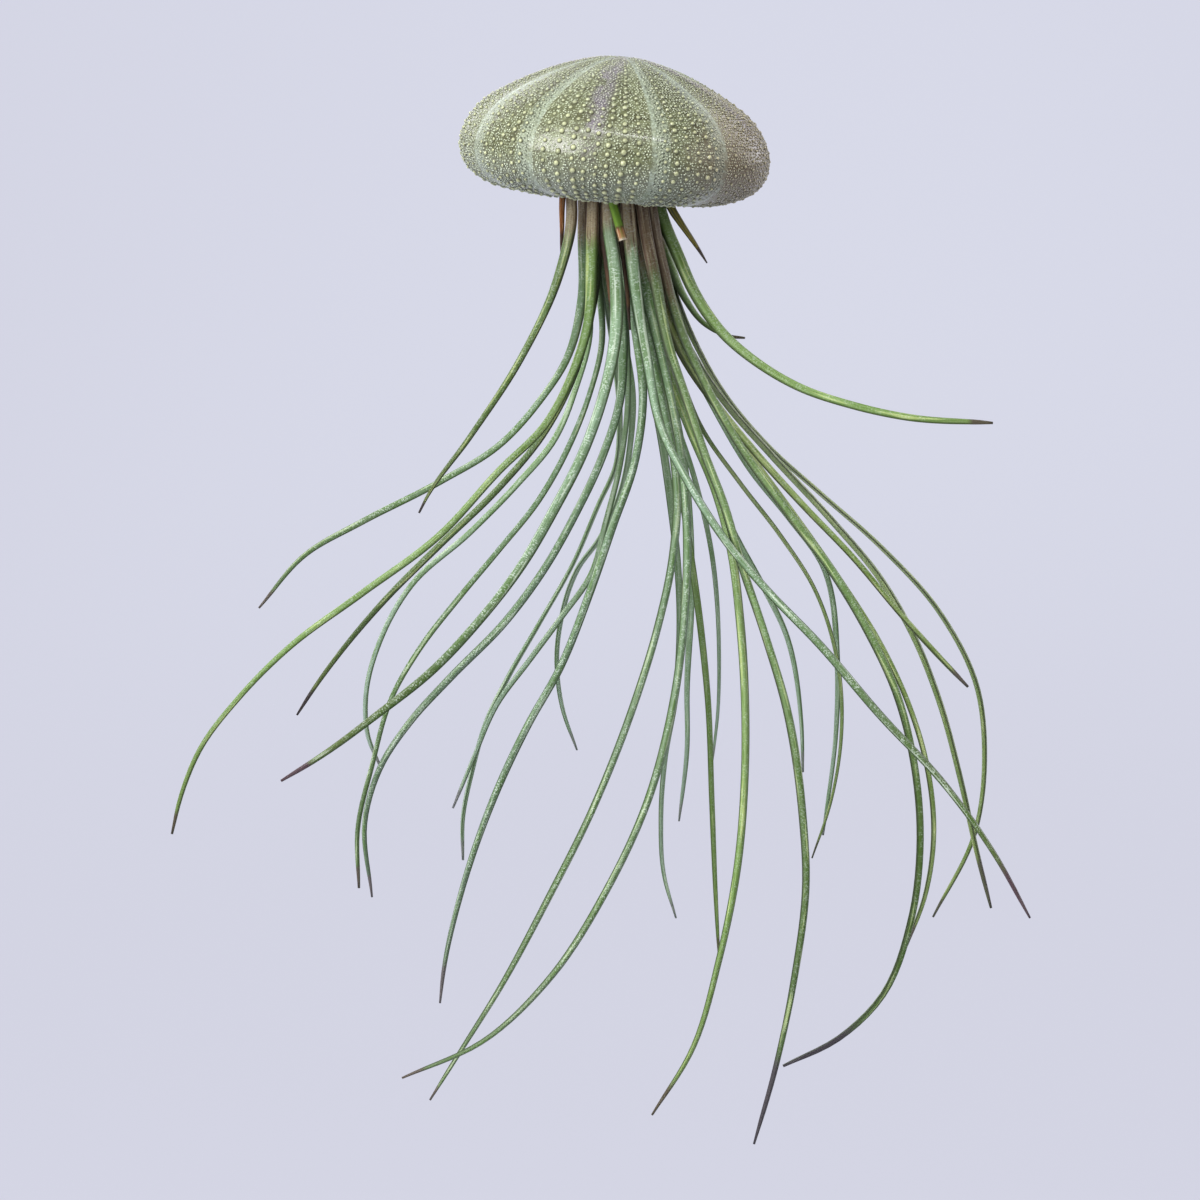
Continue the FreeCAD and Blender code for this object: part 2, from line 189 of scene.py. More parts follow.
def layered(colour, *layers):
    # tones laid over a colour, each by the given share of its zone
    for zone, share, over in layers:
        colour = mixTone(times(zone, share), colour, over)
    return colour


def ease(value, low, high):
    node = addNode("ShaderNodeMapRange", interpolation_type="SMOOTHSTEP")
    for source, socket in zip((value, low, high), node.inputs):
        plug(source, socket)
    return node.outputs[0]


def patternOf(kind, vector, output, values):
    # a node that reads a vector, with values of its own sockets
    node = addNode(kind)
    plug(vector, node.inputs["Vector"])
    for key, value in values.items():
        node.inputs[key].default_value = value
    return node.outputs[output]


def noiseOf(vector, scale, detail=3.0, roughness=0.55):
    values = {"Scale": scale, "Detail": detail, "Roughness": roughness}
    return patternOf("ShaderNodeTexNoise", vector, "Fac", values)


def cellsOf(vector, scale, randomness=1.0):
    return patternOf("ShaderNodeTexVoronoi", vector, "Distance", {"Scale": scale, "Randomness": randomness})


def stretchedOf(vector, scale):
    return patternOf("ShaderNodeMapping", vector, "Vector", {"Scale": scale})


def noiseZone(vector, scale, detail, low, high):
    return ease(noiseOf(vector, scale, detail), low, high)


def cellZone(vector, scale, randomness, low, high):
    return ease(cellsOf(vector, scale, randomness), low, high)


def attributeOf(name):
    return addNode("ShaderNodeAttribute", attribute_name=name).outputs["Fac"]


def objectPlace():
    return addNode("ShaderNodeTexCoord").outputs["Object"]


def vectorOf(*parts):
    node = addNode("ShaderNodeCombineXYZ")
    for part, socket in zip(parts, node.inputs):
        plug(part, socket)
    return node.outputs[0]


def rampOf(share, stops):
    node = addNode("ShaderNodeValToRGB")
    plug(share, node.inputs[0])
    ramp = node.color_ramp
    while len(ramp.elements) < len(stops):
        ramp.elements.new(0.5)
    for element, (place, colour) in zip(ramp.elements, stops):
        element.position = place
        element.color = tone(colour)
    return node.outputs[0]


def bumpOf(height, distance, strength, under=None):
    node = addNode("ShaderNodeBump")
    plug(height, node.inputs["Height"])
    node.inputs["Distance"].default_value = distance
    node.inputs["Strength"].default_value = strength
    if under is not None:
        plug(under, node.inputs["Normal"])
    return node.outputs["Normal"]


def newMaterial(name):
    material = bpy.data.materials.new(name)
    material.use_nodes = True
    bench["tree"] = material.node_tree
    return material, material.node_tree.nodes["Principled BSDF"]


def showMixed(share, first, second, output):
    # the tree's output shows a mix of two shaders
    node = addNode("ShaderNodeMixShader")
    for source, socket in zip((share, first.outputs[0], second.outputs[0]), node.inputs):
        plug(source, socket)
    plug(node.outputs[0], bench["tree"].nodes[output].inputs["Surface"])


# Camera, where the photograph was taken from

photo = {
    "viewDistance": 1.05,
    "elevation": 9.0,
    "roll": 5.0,
    "framePx": 1200,
    "mouthPx": (611, 198),
    "lowestTipPx": (754, 1144),
    "centrePx": (600, 600),
    "plantDrop": 0.2418,  # from the mouth to the lowest tip
    "sensor": 36.0,
}


def cameraFrame():
    # the camera's place, and its ways right, up and ahead
    tilt = radians(photo["elevation"])
    roll = radians(photo["roll"])
    ahead = Vector((0, cos(tilt), -sin(tilt)))
    level = Vector((1, 0, 0))
    rise = Vector((0, sin(tilt), cos(tilt)))
    right = level * cos(roll) + rise * sin(roll)
    up = rise * cos(roll) - level * sin(roll)
    offX = photo["centrePx"][0] - photo["mouthPx"][0]
    offY = photo["centrePx"][1] - photo["mouthPx"][1]
    aim = Vector((0, 0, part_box("shell")[0].z)) + (right * offX - up * offY) * metresPerPx
    return aim - ahead * photo["viewDistance"], right, up, ahead


def photoToModel(px, py, depth):
    # the point that the photograph shows at this pixel, at this depth behind the axis
    offX = px - photo["centrePx"][0]
    offY = py - photo["centrePx"][1]
    sight = ahead * photo["viewDistance"] + (right * offX - up * offY) * metresPerPx
    return eye + sight * ((depth - eye.y) / sight.y)


def makeCamera():
    data = bpy.data.cameras.new("camera")
    data.sensor_width = photo["sensor"]
    data.lens = photo["sensor"] * photo["viewDistance"] / (photo["framePx"] * metresPerPx)
    camera = linked("camera", data)
    turn = Matrix((right, up, -ahead)).transposed()
    camera.matrix_world = Matrix.Translation(eye) @ turn.to_4x4()
    bpy.context.scene.camera = camera


metresPerPx = photo["plantDrop"] / (photo["lowestTipPx"][1] - photo["mouthPx"][1])
eye, right, up, ahead = cameraFrame()
makeCamera()
print("camera placed")


# Studio: a pale floor that curves up into a backdrop, and soft lamps

studio = {
    "floorHeight": -0.9,
    "halfWidth": 5.0,
    "front": -5.0,
    "back": 2.2,
    "coveRadius": 1.2,
    "coveSteps": 24,
    "wallTop": 4.0,
    "backdropTone": (216, 217, 232),
    "backdropPaintedLight": (221, 223, 238),
    "backdropCloud": (0.5, 1.0, 0.35, 0.65),  # scale and detail of the noise of painted lighter patches, and where that fades in
    "backdropRoughness": 0.9,
    "ownLight": 0.92,  # share of the backdrop's look that doesn't wait for the lamps
    "worldTone": (240, 241, 246),
    "worldStrength": 0.18,
    "lampsAimAt": (0, 0, -0.05),
}
# azimuth from the viewer's side toward +X, elevation, distance, width, height, power
lamps = {
    "windowLeft": (-46, 22, 1.5, 0.8, 0.9, 28.0),
    "windowBackLeft": (-142, 24, 1.7, 1.4, 1.3, 9.0),
    "windowBackRight": (128, 24, 1.7, 1.4, 1.3, 11.0),
    "windowRight": (74, 22, 1.6, 0.9, 0.9, 3.6),
    "stripTop": (-8, 58, 1.3, 1.7, 0.05, 11.0),
    "fillFront": (-15, 4, 1.7, 1.4, 1.2, 1.8),
}


def makeBackdrop():
    bm = bmesh.new()
    floor = studio["floorHeight"]
    centre = Vector((-studio["halfWidth"], studio["back"], floor + studio["coveRadius"]))
    start = bm.verts.new((-studio["halfWidth"], studio["front"], floor))
    corner = bm.verts.new((-studio["halfWidth"], studio["back"], floor))
    bm.edges.new((start, corner))
    spun = bmesh.ops.spin(
        bm, geom=[corner], cent=centre, axis=(1, 0, 0), angle=radians(90),
        steps=studio["coveSteps"], use_duplicate=False,
    )
    foot = [part for part in spun["geom_last"] if isinstance(part, bmesh.types.BMVert)][0]
    top = bm.verts.new((foot.co.x, foot.co.y, studio["wallTop"]))
    bm.edges.new((foot, top))
    swept = bmesh.ops.extrude_edge_only(bm, edges=list(bm.edges))
    moved = [part for part in swept["geom"] if isinstance(part, bmesh.types.BMVert)]
    bmesh.ops.translate(bm, vec=(2 * studio["halfWidth"], 0, 0), verts=moved)
    bmesh.ops.recalc_face_normals(bm, faces=bm.faces)
    if sum(face.normal.z for face in bm.faces) < 0:
        bmesh.ops.reverse_faces(bm, faces=bm.faces)
    backdrop = smoothObject("backdrop", bm, makeBackdropMaterial())


def makeBackdropMaterial():
    material, shader = newMaterial("pale backdrop")
    shader.inputs["Roughness"].default_value = studio["backdropRoughness"]
    # broad lighter patches on the backdrop are painted light
    cloud = noiseZone(objectPlace(), *studio["backdropCloud"])
    pale = mixTone(cloud, studio["backdropTone"], studio["backdropPaintedLight"])
    plug(pale, shader.inputs["Base Color"])
    glow = addNode("ShaderNodeEmission")
    plug(pale, glow.inputs["Color"])
    path = addNode("ShaderNodeLightPath")
    seen = calc("MAXIMUM", path.outputs["Is Camera Ray"], path.outputs["Is Glossy Ray"])
    seen = calc("MAXIMUM", seen, path.outputs["Is Transmission Ray"])
    showMixed(times(seen, studio["ownLight"]), shader, glow, "Material Output")
    return material


def makeWorld():
    world = bpy.data.worlds.new("studio")
    bpy.context.scene.world = world
    world.use_nodes = True
    bench["tree"] = world.node_tree
    light = world.node_tree.nodes["Background"]
    light.inputs["Color"].default_value = tone(studio["worldTone"])
    light.inputs["Strength"].default_value = studio["worldStrength"]
    shown = addNode("ShaderNodeBackground")
    shown.inputs["Color"].default_value = tone(studio["backdropTone"])
    path = addNode("ShaderNodeLightPath")
    showMixed(path.outputs["Is Camera Ray"], light, shown, "World Output")


def makeLamps():
    middle = Vector(studio["lampsAimAt"])
    for name, (azimuth, elevation, distance, width, height, power) in lamps.items():
        turn = radians(azimuth)
        lift = radians(elevation)
        way = Vector((sin(turn) * cos(lift), -cos(turn) * cos(lift), sin(lift)))
        data = bpy.data.lights.new(name, "AREA")
        data.shape = "RECTANGLE"
        data.size = width
        data.size_y = height
        data.energy = power
        lamp = linked(name, data)
        lamp.location = middle + way * distance
        lamp.rotation_euler = way.to_track_quat("Z", "Y").to_euler()


makeBackdrop()
makeWorld()
makeLamps()
bpy.context.scene.view_settings.view_transform = "Standard"
print("studio lit")


# Shell of the sea urchin

shell = {
    "wall": 0.0013,
    "holeRadius": 0.0018,
    "mouthRadius": 0.0146,
    "wallInset": (0.0001, 0.0005),  # room for the knobs inside the CAD outline, at the top and lower down
    "insetGrows": (0.004, 0.03),  # from the hole: the inset grows between these
    "routeSteps": 16,  # places between two points of the outline
    "rimRound": 0.0004,
    "rimSteps": 3,
    "turnSteps": 200,
    "sectors": 5,
    "facing": -8.5,  # turn of the wide sector that the viewer faces
    "sway": 4.25,  # the sectors are a little wider on the viewer's side
    "swell": 0.00016,
    "swellStarts": (0.006, 0.02),  # from the hole, like the next
    "swellEnds": (0.066, 0.078),
    "bandAt": 21.8,  # from the middle of a wide sector to its pore band
    "lineWidth": 0.0012,  # pale line along the band
    "poreZone": 0.0034,  # pores beside the line, on its narrow sector's side
    "leastLine": 0.0002,  # half the width of the line at the axis
    "leastZone": 0.0003,
    "fullWidthAt": 0.04,  # from the axis: nearer to it, lines and pore zones are narrower
}
sectorSpan = 360 / shell["sectors"]
sectorShift = 50.5  # keeps a place counted in sectors above zero, with the middle of a sector at one half

# way out from the edge of the hole or the mouth to the widest place, and drop below the top
upperShares = [
    (0.113, 0.015), (0.241, 0.047), (0.356, 0.084), (0.516, 0.154),
    (0.712, 0.262), (0.869, 0.384), (0.963, 0.524), (1.0, 0.662),
]
lowerShares = [
    (0.976, 0.776), (0.906, 0.859), (0.776, 0.927), (0.606, 0.973),
    (0.409, 0.997), (0.213, 1.0), (0.087, 0.982), (0.0, 0.952),
]


def shellOutline():
    # the wall's outer line from the hole to the mouth: x is the distance from the axis
    low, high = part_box("shell")
    widest = (high.x - low.x) / 2
    points = [Vector((shell["holeRadius"], 0, high.z))]
    for edge, shares in ((shell["holeRadius"], upperShares), (shell["mouthRadius"], lowerShares)):
        for wayShare, dropShare in shares:
            drop = (high.z - low.z) * dropShare
            points.append(Vector((edge + (widest - edge) * wayShare, 0, high.z - drop)))
    places, ways = smoothRoute(points, shell["routeSteps"])
    outwards = [Vector((-way.z, 0, way.x)) for way in ways]
    grown = [eased(*shell["insetGrows"], reached) for reached in lengthwise(places)]
    insets = [mixed(*shell["wallInset"], share) for share in grown]
    return [place - out * inset for place, out, inset in zip(places, outwards, insets)], outwards


def onOutline(distance):
    # place and outward way of the outline at a distance from the hole
    run = 0
    while run < len(outlineReached) - 2 and outlineReached[run + 1] < distance:
        run += 1
    share = (distance - outlineReached[run]) / (outlineReached[run + 1] - outlineReached[run])
    place = outline[run].lerp(outline[run + 1], share)
    return place, outlineWays[run].lerp(outlineWays[run + 1], share).normalized()


def roundAxis(place, turn):
    # a place of the outline, turned round the shell's axis
    return Matrix.Rotation(radians(turn - 90), 3, "Z") @ place


def sectorTurn(turn):
    # from a turn round an even five-rayed shell to the turn on this one
    return shell["facing"] + turn + shell["sway"] * sin(radians(turn))


def swellAt(turn, distance):
    # how far the wall stands out between the seams of its plates
    beat = cos(radians(turn) * 2 * shell["sectors"])
    fade = eased(*shell["swellStarts"], distance) * (1 - eased(*shell["swellEnds"], distance))
    return shell["swell"] * beat * fade


def pastLine(turn, fromAxis):
    # how far from the nearest band's pale line a place lies, toward the narrow sector
    evened = radians(turn - shell["facing"])
    evened -= radians(shell["sway"]) * sin(evened)
    offset = (degrees(evened) / sectorSpan + sectorShift) % 1 - 0.5
    return radians(abs(offset) * sectorSpan - shell["bandAt"]) * fromAxis


def makeWall():
    bm = bmesh.new()
    along = bm.verts.layers.float.new("along")
    inside = bm.verts.layers.float.new("inside")
    outer = [bm.verts.new(place) for place in outline]
    inner = [bm.verts.new(place - way * shell["wall"]) for place, way in zip(outline, outlineWays)]
    inner[0].co = outline[0] - Vector((0, 0, shell["wall"]))
    inner[-1].co = outline[-1] + Vector((0, 0, shell["wall"]))
    for side, verts in enumerate((outer, inner)):
        for vert, reached in zip(verts, outlineReached):
            vert[along] = reached
            vert[inside] = side
    loop = outer + inner[::-1]
    for before, after in zip(loop, loop[1:] + loop[:1]):
        bm.edges.new((before, after))
    bmesh.ops.bevel(
        bm, geom=[outer[0], outer[-1], inner[0], inner[-1]], offset=shell["rimRound"],
        segments=shell["rimSteps"], profile=0.5, affect="VERTICES", material=-1,
    )
    bmesh.ops.spin(
        bm, geom=bm.verts[:] + bm.edges[:], cent=(0, 0, 0), axis=(0, 0, 1),
        angle=radians(360), steps=shell["turnSteps"], use_merge=True, use_duplicate=False,
    )
    bmesh.ops.remove_doubles(bm, verts=bm.verts, dist=1e-7)
    for vert in bm.verts:
        azimuth = degrees(atan2(vert.co.x, -vert.co.y))
        flat = hypot(vert.co.x, vert.co.y)
        rise = swellAt(azimuth - shell["facing"], vert[along])
        vert.co += Vector((vert.co.x, vert.co.y, 0)) * (rise / flat)
    bmesh.ops.recalc_face_normals(bm, faces=bm.faces)
    finishedPiece("shell_wall", bm, shellMaterial, "shell", ["shell"])


def domeMesh(name, turns, rings, foot=0.0, isKnob=0.0):
    # half a ball of radius 1 standing on the ground, with a sloping foot round it if asked
    bm = bmesh.new()
    bmesh.ops.create_uvsphere(bm, u_segments=turns, v_segments=rings, radius=1.0)
    bmesh.ops.bisect_plane(
        bm, geom=bm.verts[:] + bm.edges[:] + bm.faces[:], dist=1e-4,
        plane_co=(0, 0, 0), plane_no=(0, 0, 1), clear_inner=True,
    )
    if foot:
        rim = [edge for edge in bm.edges if edge.is_boundary]
        spread = bmesh.ops.extrude_edge_only(bm, edges=rim)
        lower = [part for part in spread["geom"] if isinstance(part, bmesh.types.BMVert)]
        bmesh.ops.scale(bm, vec=(1 + foot, 1 + foot, 1), verts=lower)
        bmesh.ops.translate(bm, vec=(0, 0, -foot / 2), verts=lower)
    rise = bm.verts.layers.float.new("rise")
    knob = bm.verts.layers.float.new("knob")
    for vert in bm.verts:
        vert[rise] = max(vert.co.z, 0.0)
        vert[knob] = isKnob
    bmesh.ops.recalc_face_normals(bm, faces=bm.faces)
    return meshFrom(name, bm)


def standOn(bm, template, turn, distance, radius, height):
    # one copy of a dome, standing on the wall
    place, way = onOutline(distance)
    spin = Matrix.Rotation(radians(turn - 90), 4, "Z")
    lifted = place + way * swellAt(turn - shell["facing"], distance)
    upright = way.to_track_quat("Z", "Y").to_matrix().to_4x4()
    size = Matrix.Diagonal((radius, radius, height, 1))
    copy = template.copy()
    copy.transform(spin @ Matrix.Translation(lifted) @ upright @ size)
    bm.from_mesh(copy)
    bpy.data.meshes.remove(copy)


knobField = {
    "seed": 7,
    "dome": (8, 8),  # faces round a knob, and rings of the whole ball that it is half of
    # turn from the middle of the sector, size, and distance from the axis where the column starts
    "wideColumns": ((11.0, 1.0, 0.0), (5.9, 0.9, 0.016), (16.4, 0.84, 0.026), (2.0, 0.76, 0.031)),
    "narrowColumns": ((6.6, 0.88, 0.004), (2.2, 0.74, 0.028), (10.2, 0.72, 0.022)),
    "radius": 0.00086,
    "height": 0.92,  # share of the radius
    "foot": 0.4,  # share of the radius
    # turn, and size of the knobs there: they are largest on the viewer's side
    "sizes": (
        (-180, 0.92), (-110, 0.84), (-62, 0.72), (-38, 0.94), (-8, 1.0), (38, 0.94), (56, 0.6), (90, 0.76),
        (120, 0.86), (180, 0.92),
    ),
    "pitch": (0.0017, 0.0026),  # between the rows, near the hole and lower down
    "start": 0.0045,  # from the hole
    "laterStart": 0.0007,  # more than that, on the second side of a sector
    "grows": (0.004, 0.042),  # from the hole: knobs and pitch grow between these
    "firstSize": 0.4,
    "shrinks": (0.062, 0.08),  # from the hole: the knobs shrink again between these
    "lastSize": 0.78,
    "rowEnd": 0.0012,  # from the mouth's edge, like the next
    "lastPlace": 0.001,
    "leastRadius": 0.0003,
    "sizeSpread": (0.76, 1.08),
    "turnSpread": 0.4,
    "rowSpread": 0.14,  # share of the pitch
}


def knobPlaces():
    # turn, distance from the hole and radius of every knob
    chance = random.Random(knobField["seed"])
    end = outlineReached[-1]
    turnSpread = knobField["turnSpread"]
    rowSpread = knobField["rowSpread"]
    runs = [
        (columns, sectorSpan * sector + middle, side)
        for columns, middle in ((knobField["wideColumns"], 0), (knobField["narrowColumns"], sectorSpan / 2))
        for sector in range(shell["sectors"])
        for side in (-1, 1)
    ]
    places = []
    for columns, middle, side in runs:
        distance = knobField["start"] + (knobField["laterStart"] if side > 0 else 0)
        while distance < end - knobField["rowEnd"]:
            fromAxis = onOutline(distance)[0].x
            lower = eased(*knobField["grows"], distance)
            size = mixed(knobField["firstSize"], 1.0, lower)
            size *= mixed(1.0, knobField["lastSize"], eased(*knobField["shrinks"], distance))
            pitch = mixed(*knobField["pitch"], lower)
            for number, (column, columnSize, columnStart) in enumerate(columns):
                if fromAxis < columnStart:
                    continue
                radius = knobField["radius"] * size * columnSize * chance.uniform(*knobField["sizeSpread"])
                turn = sectorTurn(middle + side * column + chance.uniform(-turnSpread, turnSpread))
                radius *= formAt(knobField["sizes"], (turn + 180) % 360 - 180)[0]
                shift = chance.uniform(-rowSpread, rowSpread) * pitch
                shift += 0.5 * pitch * (number % 2)
                if radius > knobField["leastRadius"]:
                    places.append((turn, min(distance + shift, end - knobField["lastPlace"]), radius))
            distance += pitch
    return places


def makeKnobs(places):
    # in two pieces: the viewer's half of the shell and the far half
    template = domeMesh("knobTemplate", *knobField["dome"], foot=knobField["foot"], isKnob=1.0)
    for half, name in enumerate(("shell_knobs_front", "shell_knobs_back")):
        bm = bmesh.new()
        for turn, distance, radius in places:
            if (cos(radians(turn)) < 0) == bool(half):
                standOn(bm, template, turn, distance, radius, radius * knobField["height"])
        finishedPiece(name, bm, shellMaterial, "shell")
    bpy.data.meshes.remove(template)


grainField = {
    "seed": 11,
    "dome": (6, 4),
    "pitch": 0.00082,
    "rowPitch": 0.87,  # share of the pitch
    "radius": (0.00021, 0.00034),
    "height": 0.8,  # share of the radius
    "amongPores": 0.82,  # size of the grains between the pores
    "start": 0.0016,  # from the hole
    "nearest": 0.0008,  # a grain may shift this near to the hole
    "rowEnd": 0.0006,  # from the mouth's edge
    "leastCount": 6,
    "turnSpread": 0.3,  # share of the step between two grains of a row
    "rowSpread": 0.26,  # share of the pitch
    "knobRoom": 1.25,  # kept free round a knob, as a share of its radius
    "lineShare": 0.4,  # share of a pale line's width that is kept free on each side of its middle
    "lineRoom": 0.0002,  # kept free beyond that
    "cell": 0.002,  # the knobs near a grain are looked up in cells of this size
}


def isCrowded(point, radius, taken):
    # whether a grain at this point would touch a knob
    home = [int(part // grainField["cell"]) for part in point]
    for dx in (-1, 0, 1):
        for dy in (-1, 0, 1):
            for dz in (-1, 0, 1):
                for other, size in taken.get((home[0] + dx, home[1] + dy, home[2] + dz), ()):
                    if (other - point).length < size * grainField["knobRoom"] + radius:
                        return True
    return False


def makeGrains(knobs):
    # grains all over the wall, in one piece for each fifth of it
    chance = random.Random(grainField["seed"])
    turnSpread = grainField["turnSpread"]
    rowSpread = grainField["rowSpread"]
    taken = {}
    for turn, distance, radius in knobs:
        point = roundAxis(onOutline(distance)[0], turn)
        taken.setdefault(tuple(int(part // grainField["cell"]) for part in point), []).append((point, radius))
    template = domeMesh("grainTemplate", *grainField["dome"])
    sheets = [bmesh.new() for sector in range(shell["sectors"])]
    distance = grainField["start"]
    row = 0
    while distance < outlineReached[-1] - grainField["rowEnd"]:
        length = 2 * pi * onOutline(distance)[0].x
        count = max(int(length / grainField["pitch"]), grainField["leastCount"])
        for step in range(count):
            turn = (step + 0.5 * (row % 2) + chance.uniform(-turnSpread, turnSpread)) * 360 / count
            reach = distance + chance.uniform(-rowSpread, rowSpread) * grainField["pitch"]
            reach = max(reach, grainField["nearest"])
            spot = onOutline(reach)[0]
            radius = chance.uniform(*grainField["radius"])
            past = pastLine(turn, spot.x)
            lineHalf = grainField["lineShare"] * shell["lineWidth"] * min(spot.x / shell["fullWidthAt"], 1)
            onLine = abs(past) < grainField["lineRoom"] + lineHalf
            if onLine or isCrowded(roundAxis(spot, turn), radius, taken):
                continue
            if 0 < past < shell["poreZone"]:
                radius *= grainField["amongPores"]
            sheet = sheets[int(turn % 360 // sectorSpan)]
            standOn(sheet, template, turn, reach, radius, radius * grainField["height"])
        distance += grainField["pitch"] * grainField["rowPitch"]
        row += 1
    bpy.data.meshes.remove(template)
    for number, sheet in enumerate(sheets):
        finishedPiece(f"shell_grains_{number + 1}", sheet, shellMaterial, "shell")


shellTones = {
    "ground": (78, 78, 52),
    "groundPale": (114, 119, 86),
    "grain": (198, 207, 176),
    "knob": (188, 192, 148),
    # painted shade round the foot of knobs and grains
    "foot": (74, 74, 48),
    "band": (184, 197, 177),
    "bandGrain": (208, 218, 200),
    "pore": (74, 80, 60),
    "violet": (132, 122, 140),
    "violetGrain": (178, 172, 178),
    "brown": (118, 98, 74),
    "brownGrain": (178, 160, 134),
    "low": (142, 148, 130),
    "inner": (176, 174, 150),
}
# zones of noise: scale, detail, and the values between which each fades in
shellNoise = {
    "broken": (640.0, 3.0, 0.36, 0.58),  # the pale lines fade here and there
    "violet": (210.0, 3.0, 0.28, 0.6),
    "mottle": (520.0, 4.0, 0.36, 0.66),
    "clouds": (60.0, 2.0, 0.35, 0.7),
    "each": (900.0, 0.0, 0.3, 0.7),  # one grain differs from the next
    "worn": (330.0, 1.0, 0.42, 0.62),  # worn tops of knobs
}
# zones of cells: scale, randomness, and the values between which each fades in
shellCells = {
    "beads": (1250.0, 1.0, 0.56, 0.3),  # pale lines are rows of beads
    "specks": (1750.0, 1.0, 0.42, 0.2),  # tiny pale specks between the grains
    "pores": (1120.0, 0.35, 0.42, 0.24),
}
# values between which other zones fade in: heights for the first four, then lengths, then shares
shellFades = {
    "wholeLine": (-0.02, -0.009),
    "violet": (-0.026, -0.008),
    "low": (-0.0135, -0.024),
    "creamKnob": (-0.003, -0.014),
    "brown": (0.022, 0.044),
    "seam": (0.0034, 0.0008),
    "line": (1.3, 0.7),
    "zoneStarts": (0.02, 0.2),
    "zoneEnds": (1.15, 0.85),
    "top": (0.25, 0.8),
}
# scale of each other pattern, and how far its edge wanders
shellWander = {"line": (160.0, 0.0012), "brown": (60.0, 0.016), "low": (90.0, 0.01)}
# scale, depth and strength of each relief, and the last two of the pores'
shellRelief = {"coarse": (1900.0, 0.0001, 0.4), "fine": (5200.0, 0.00006, 0.35)}
poreRelief = (0.0002, 0.8)


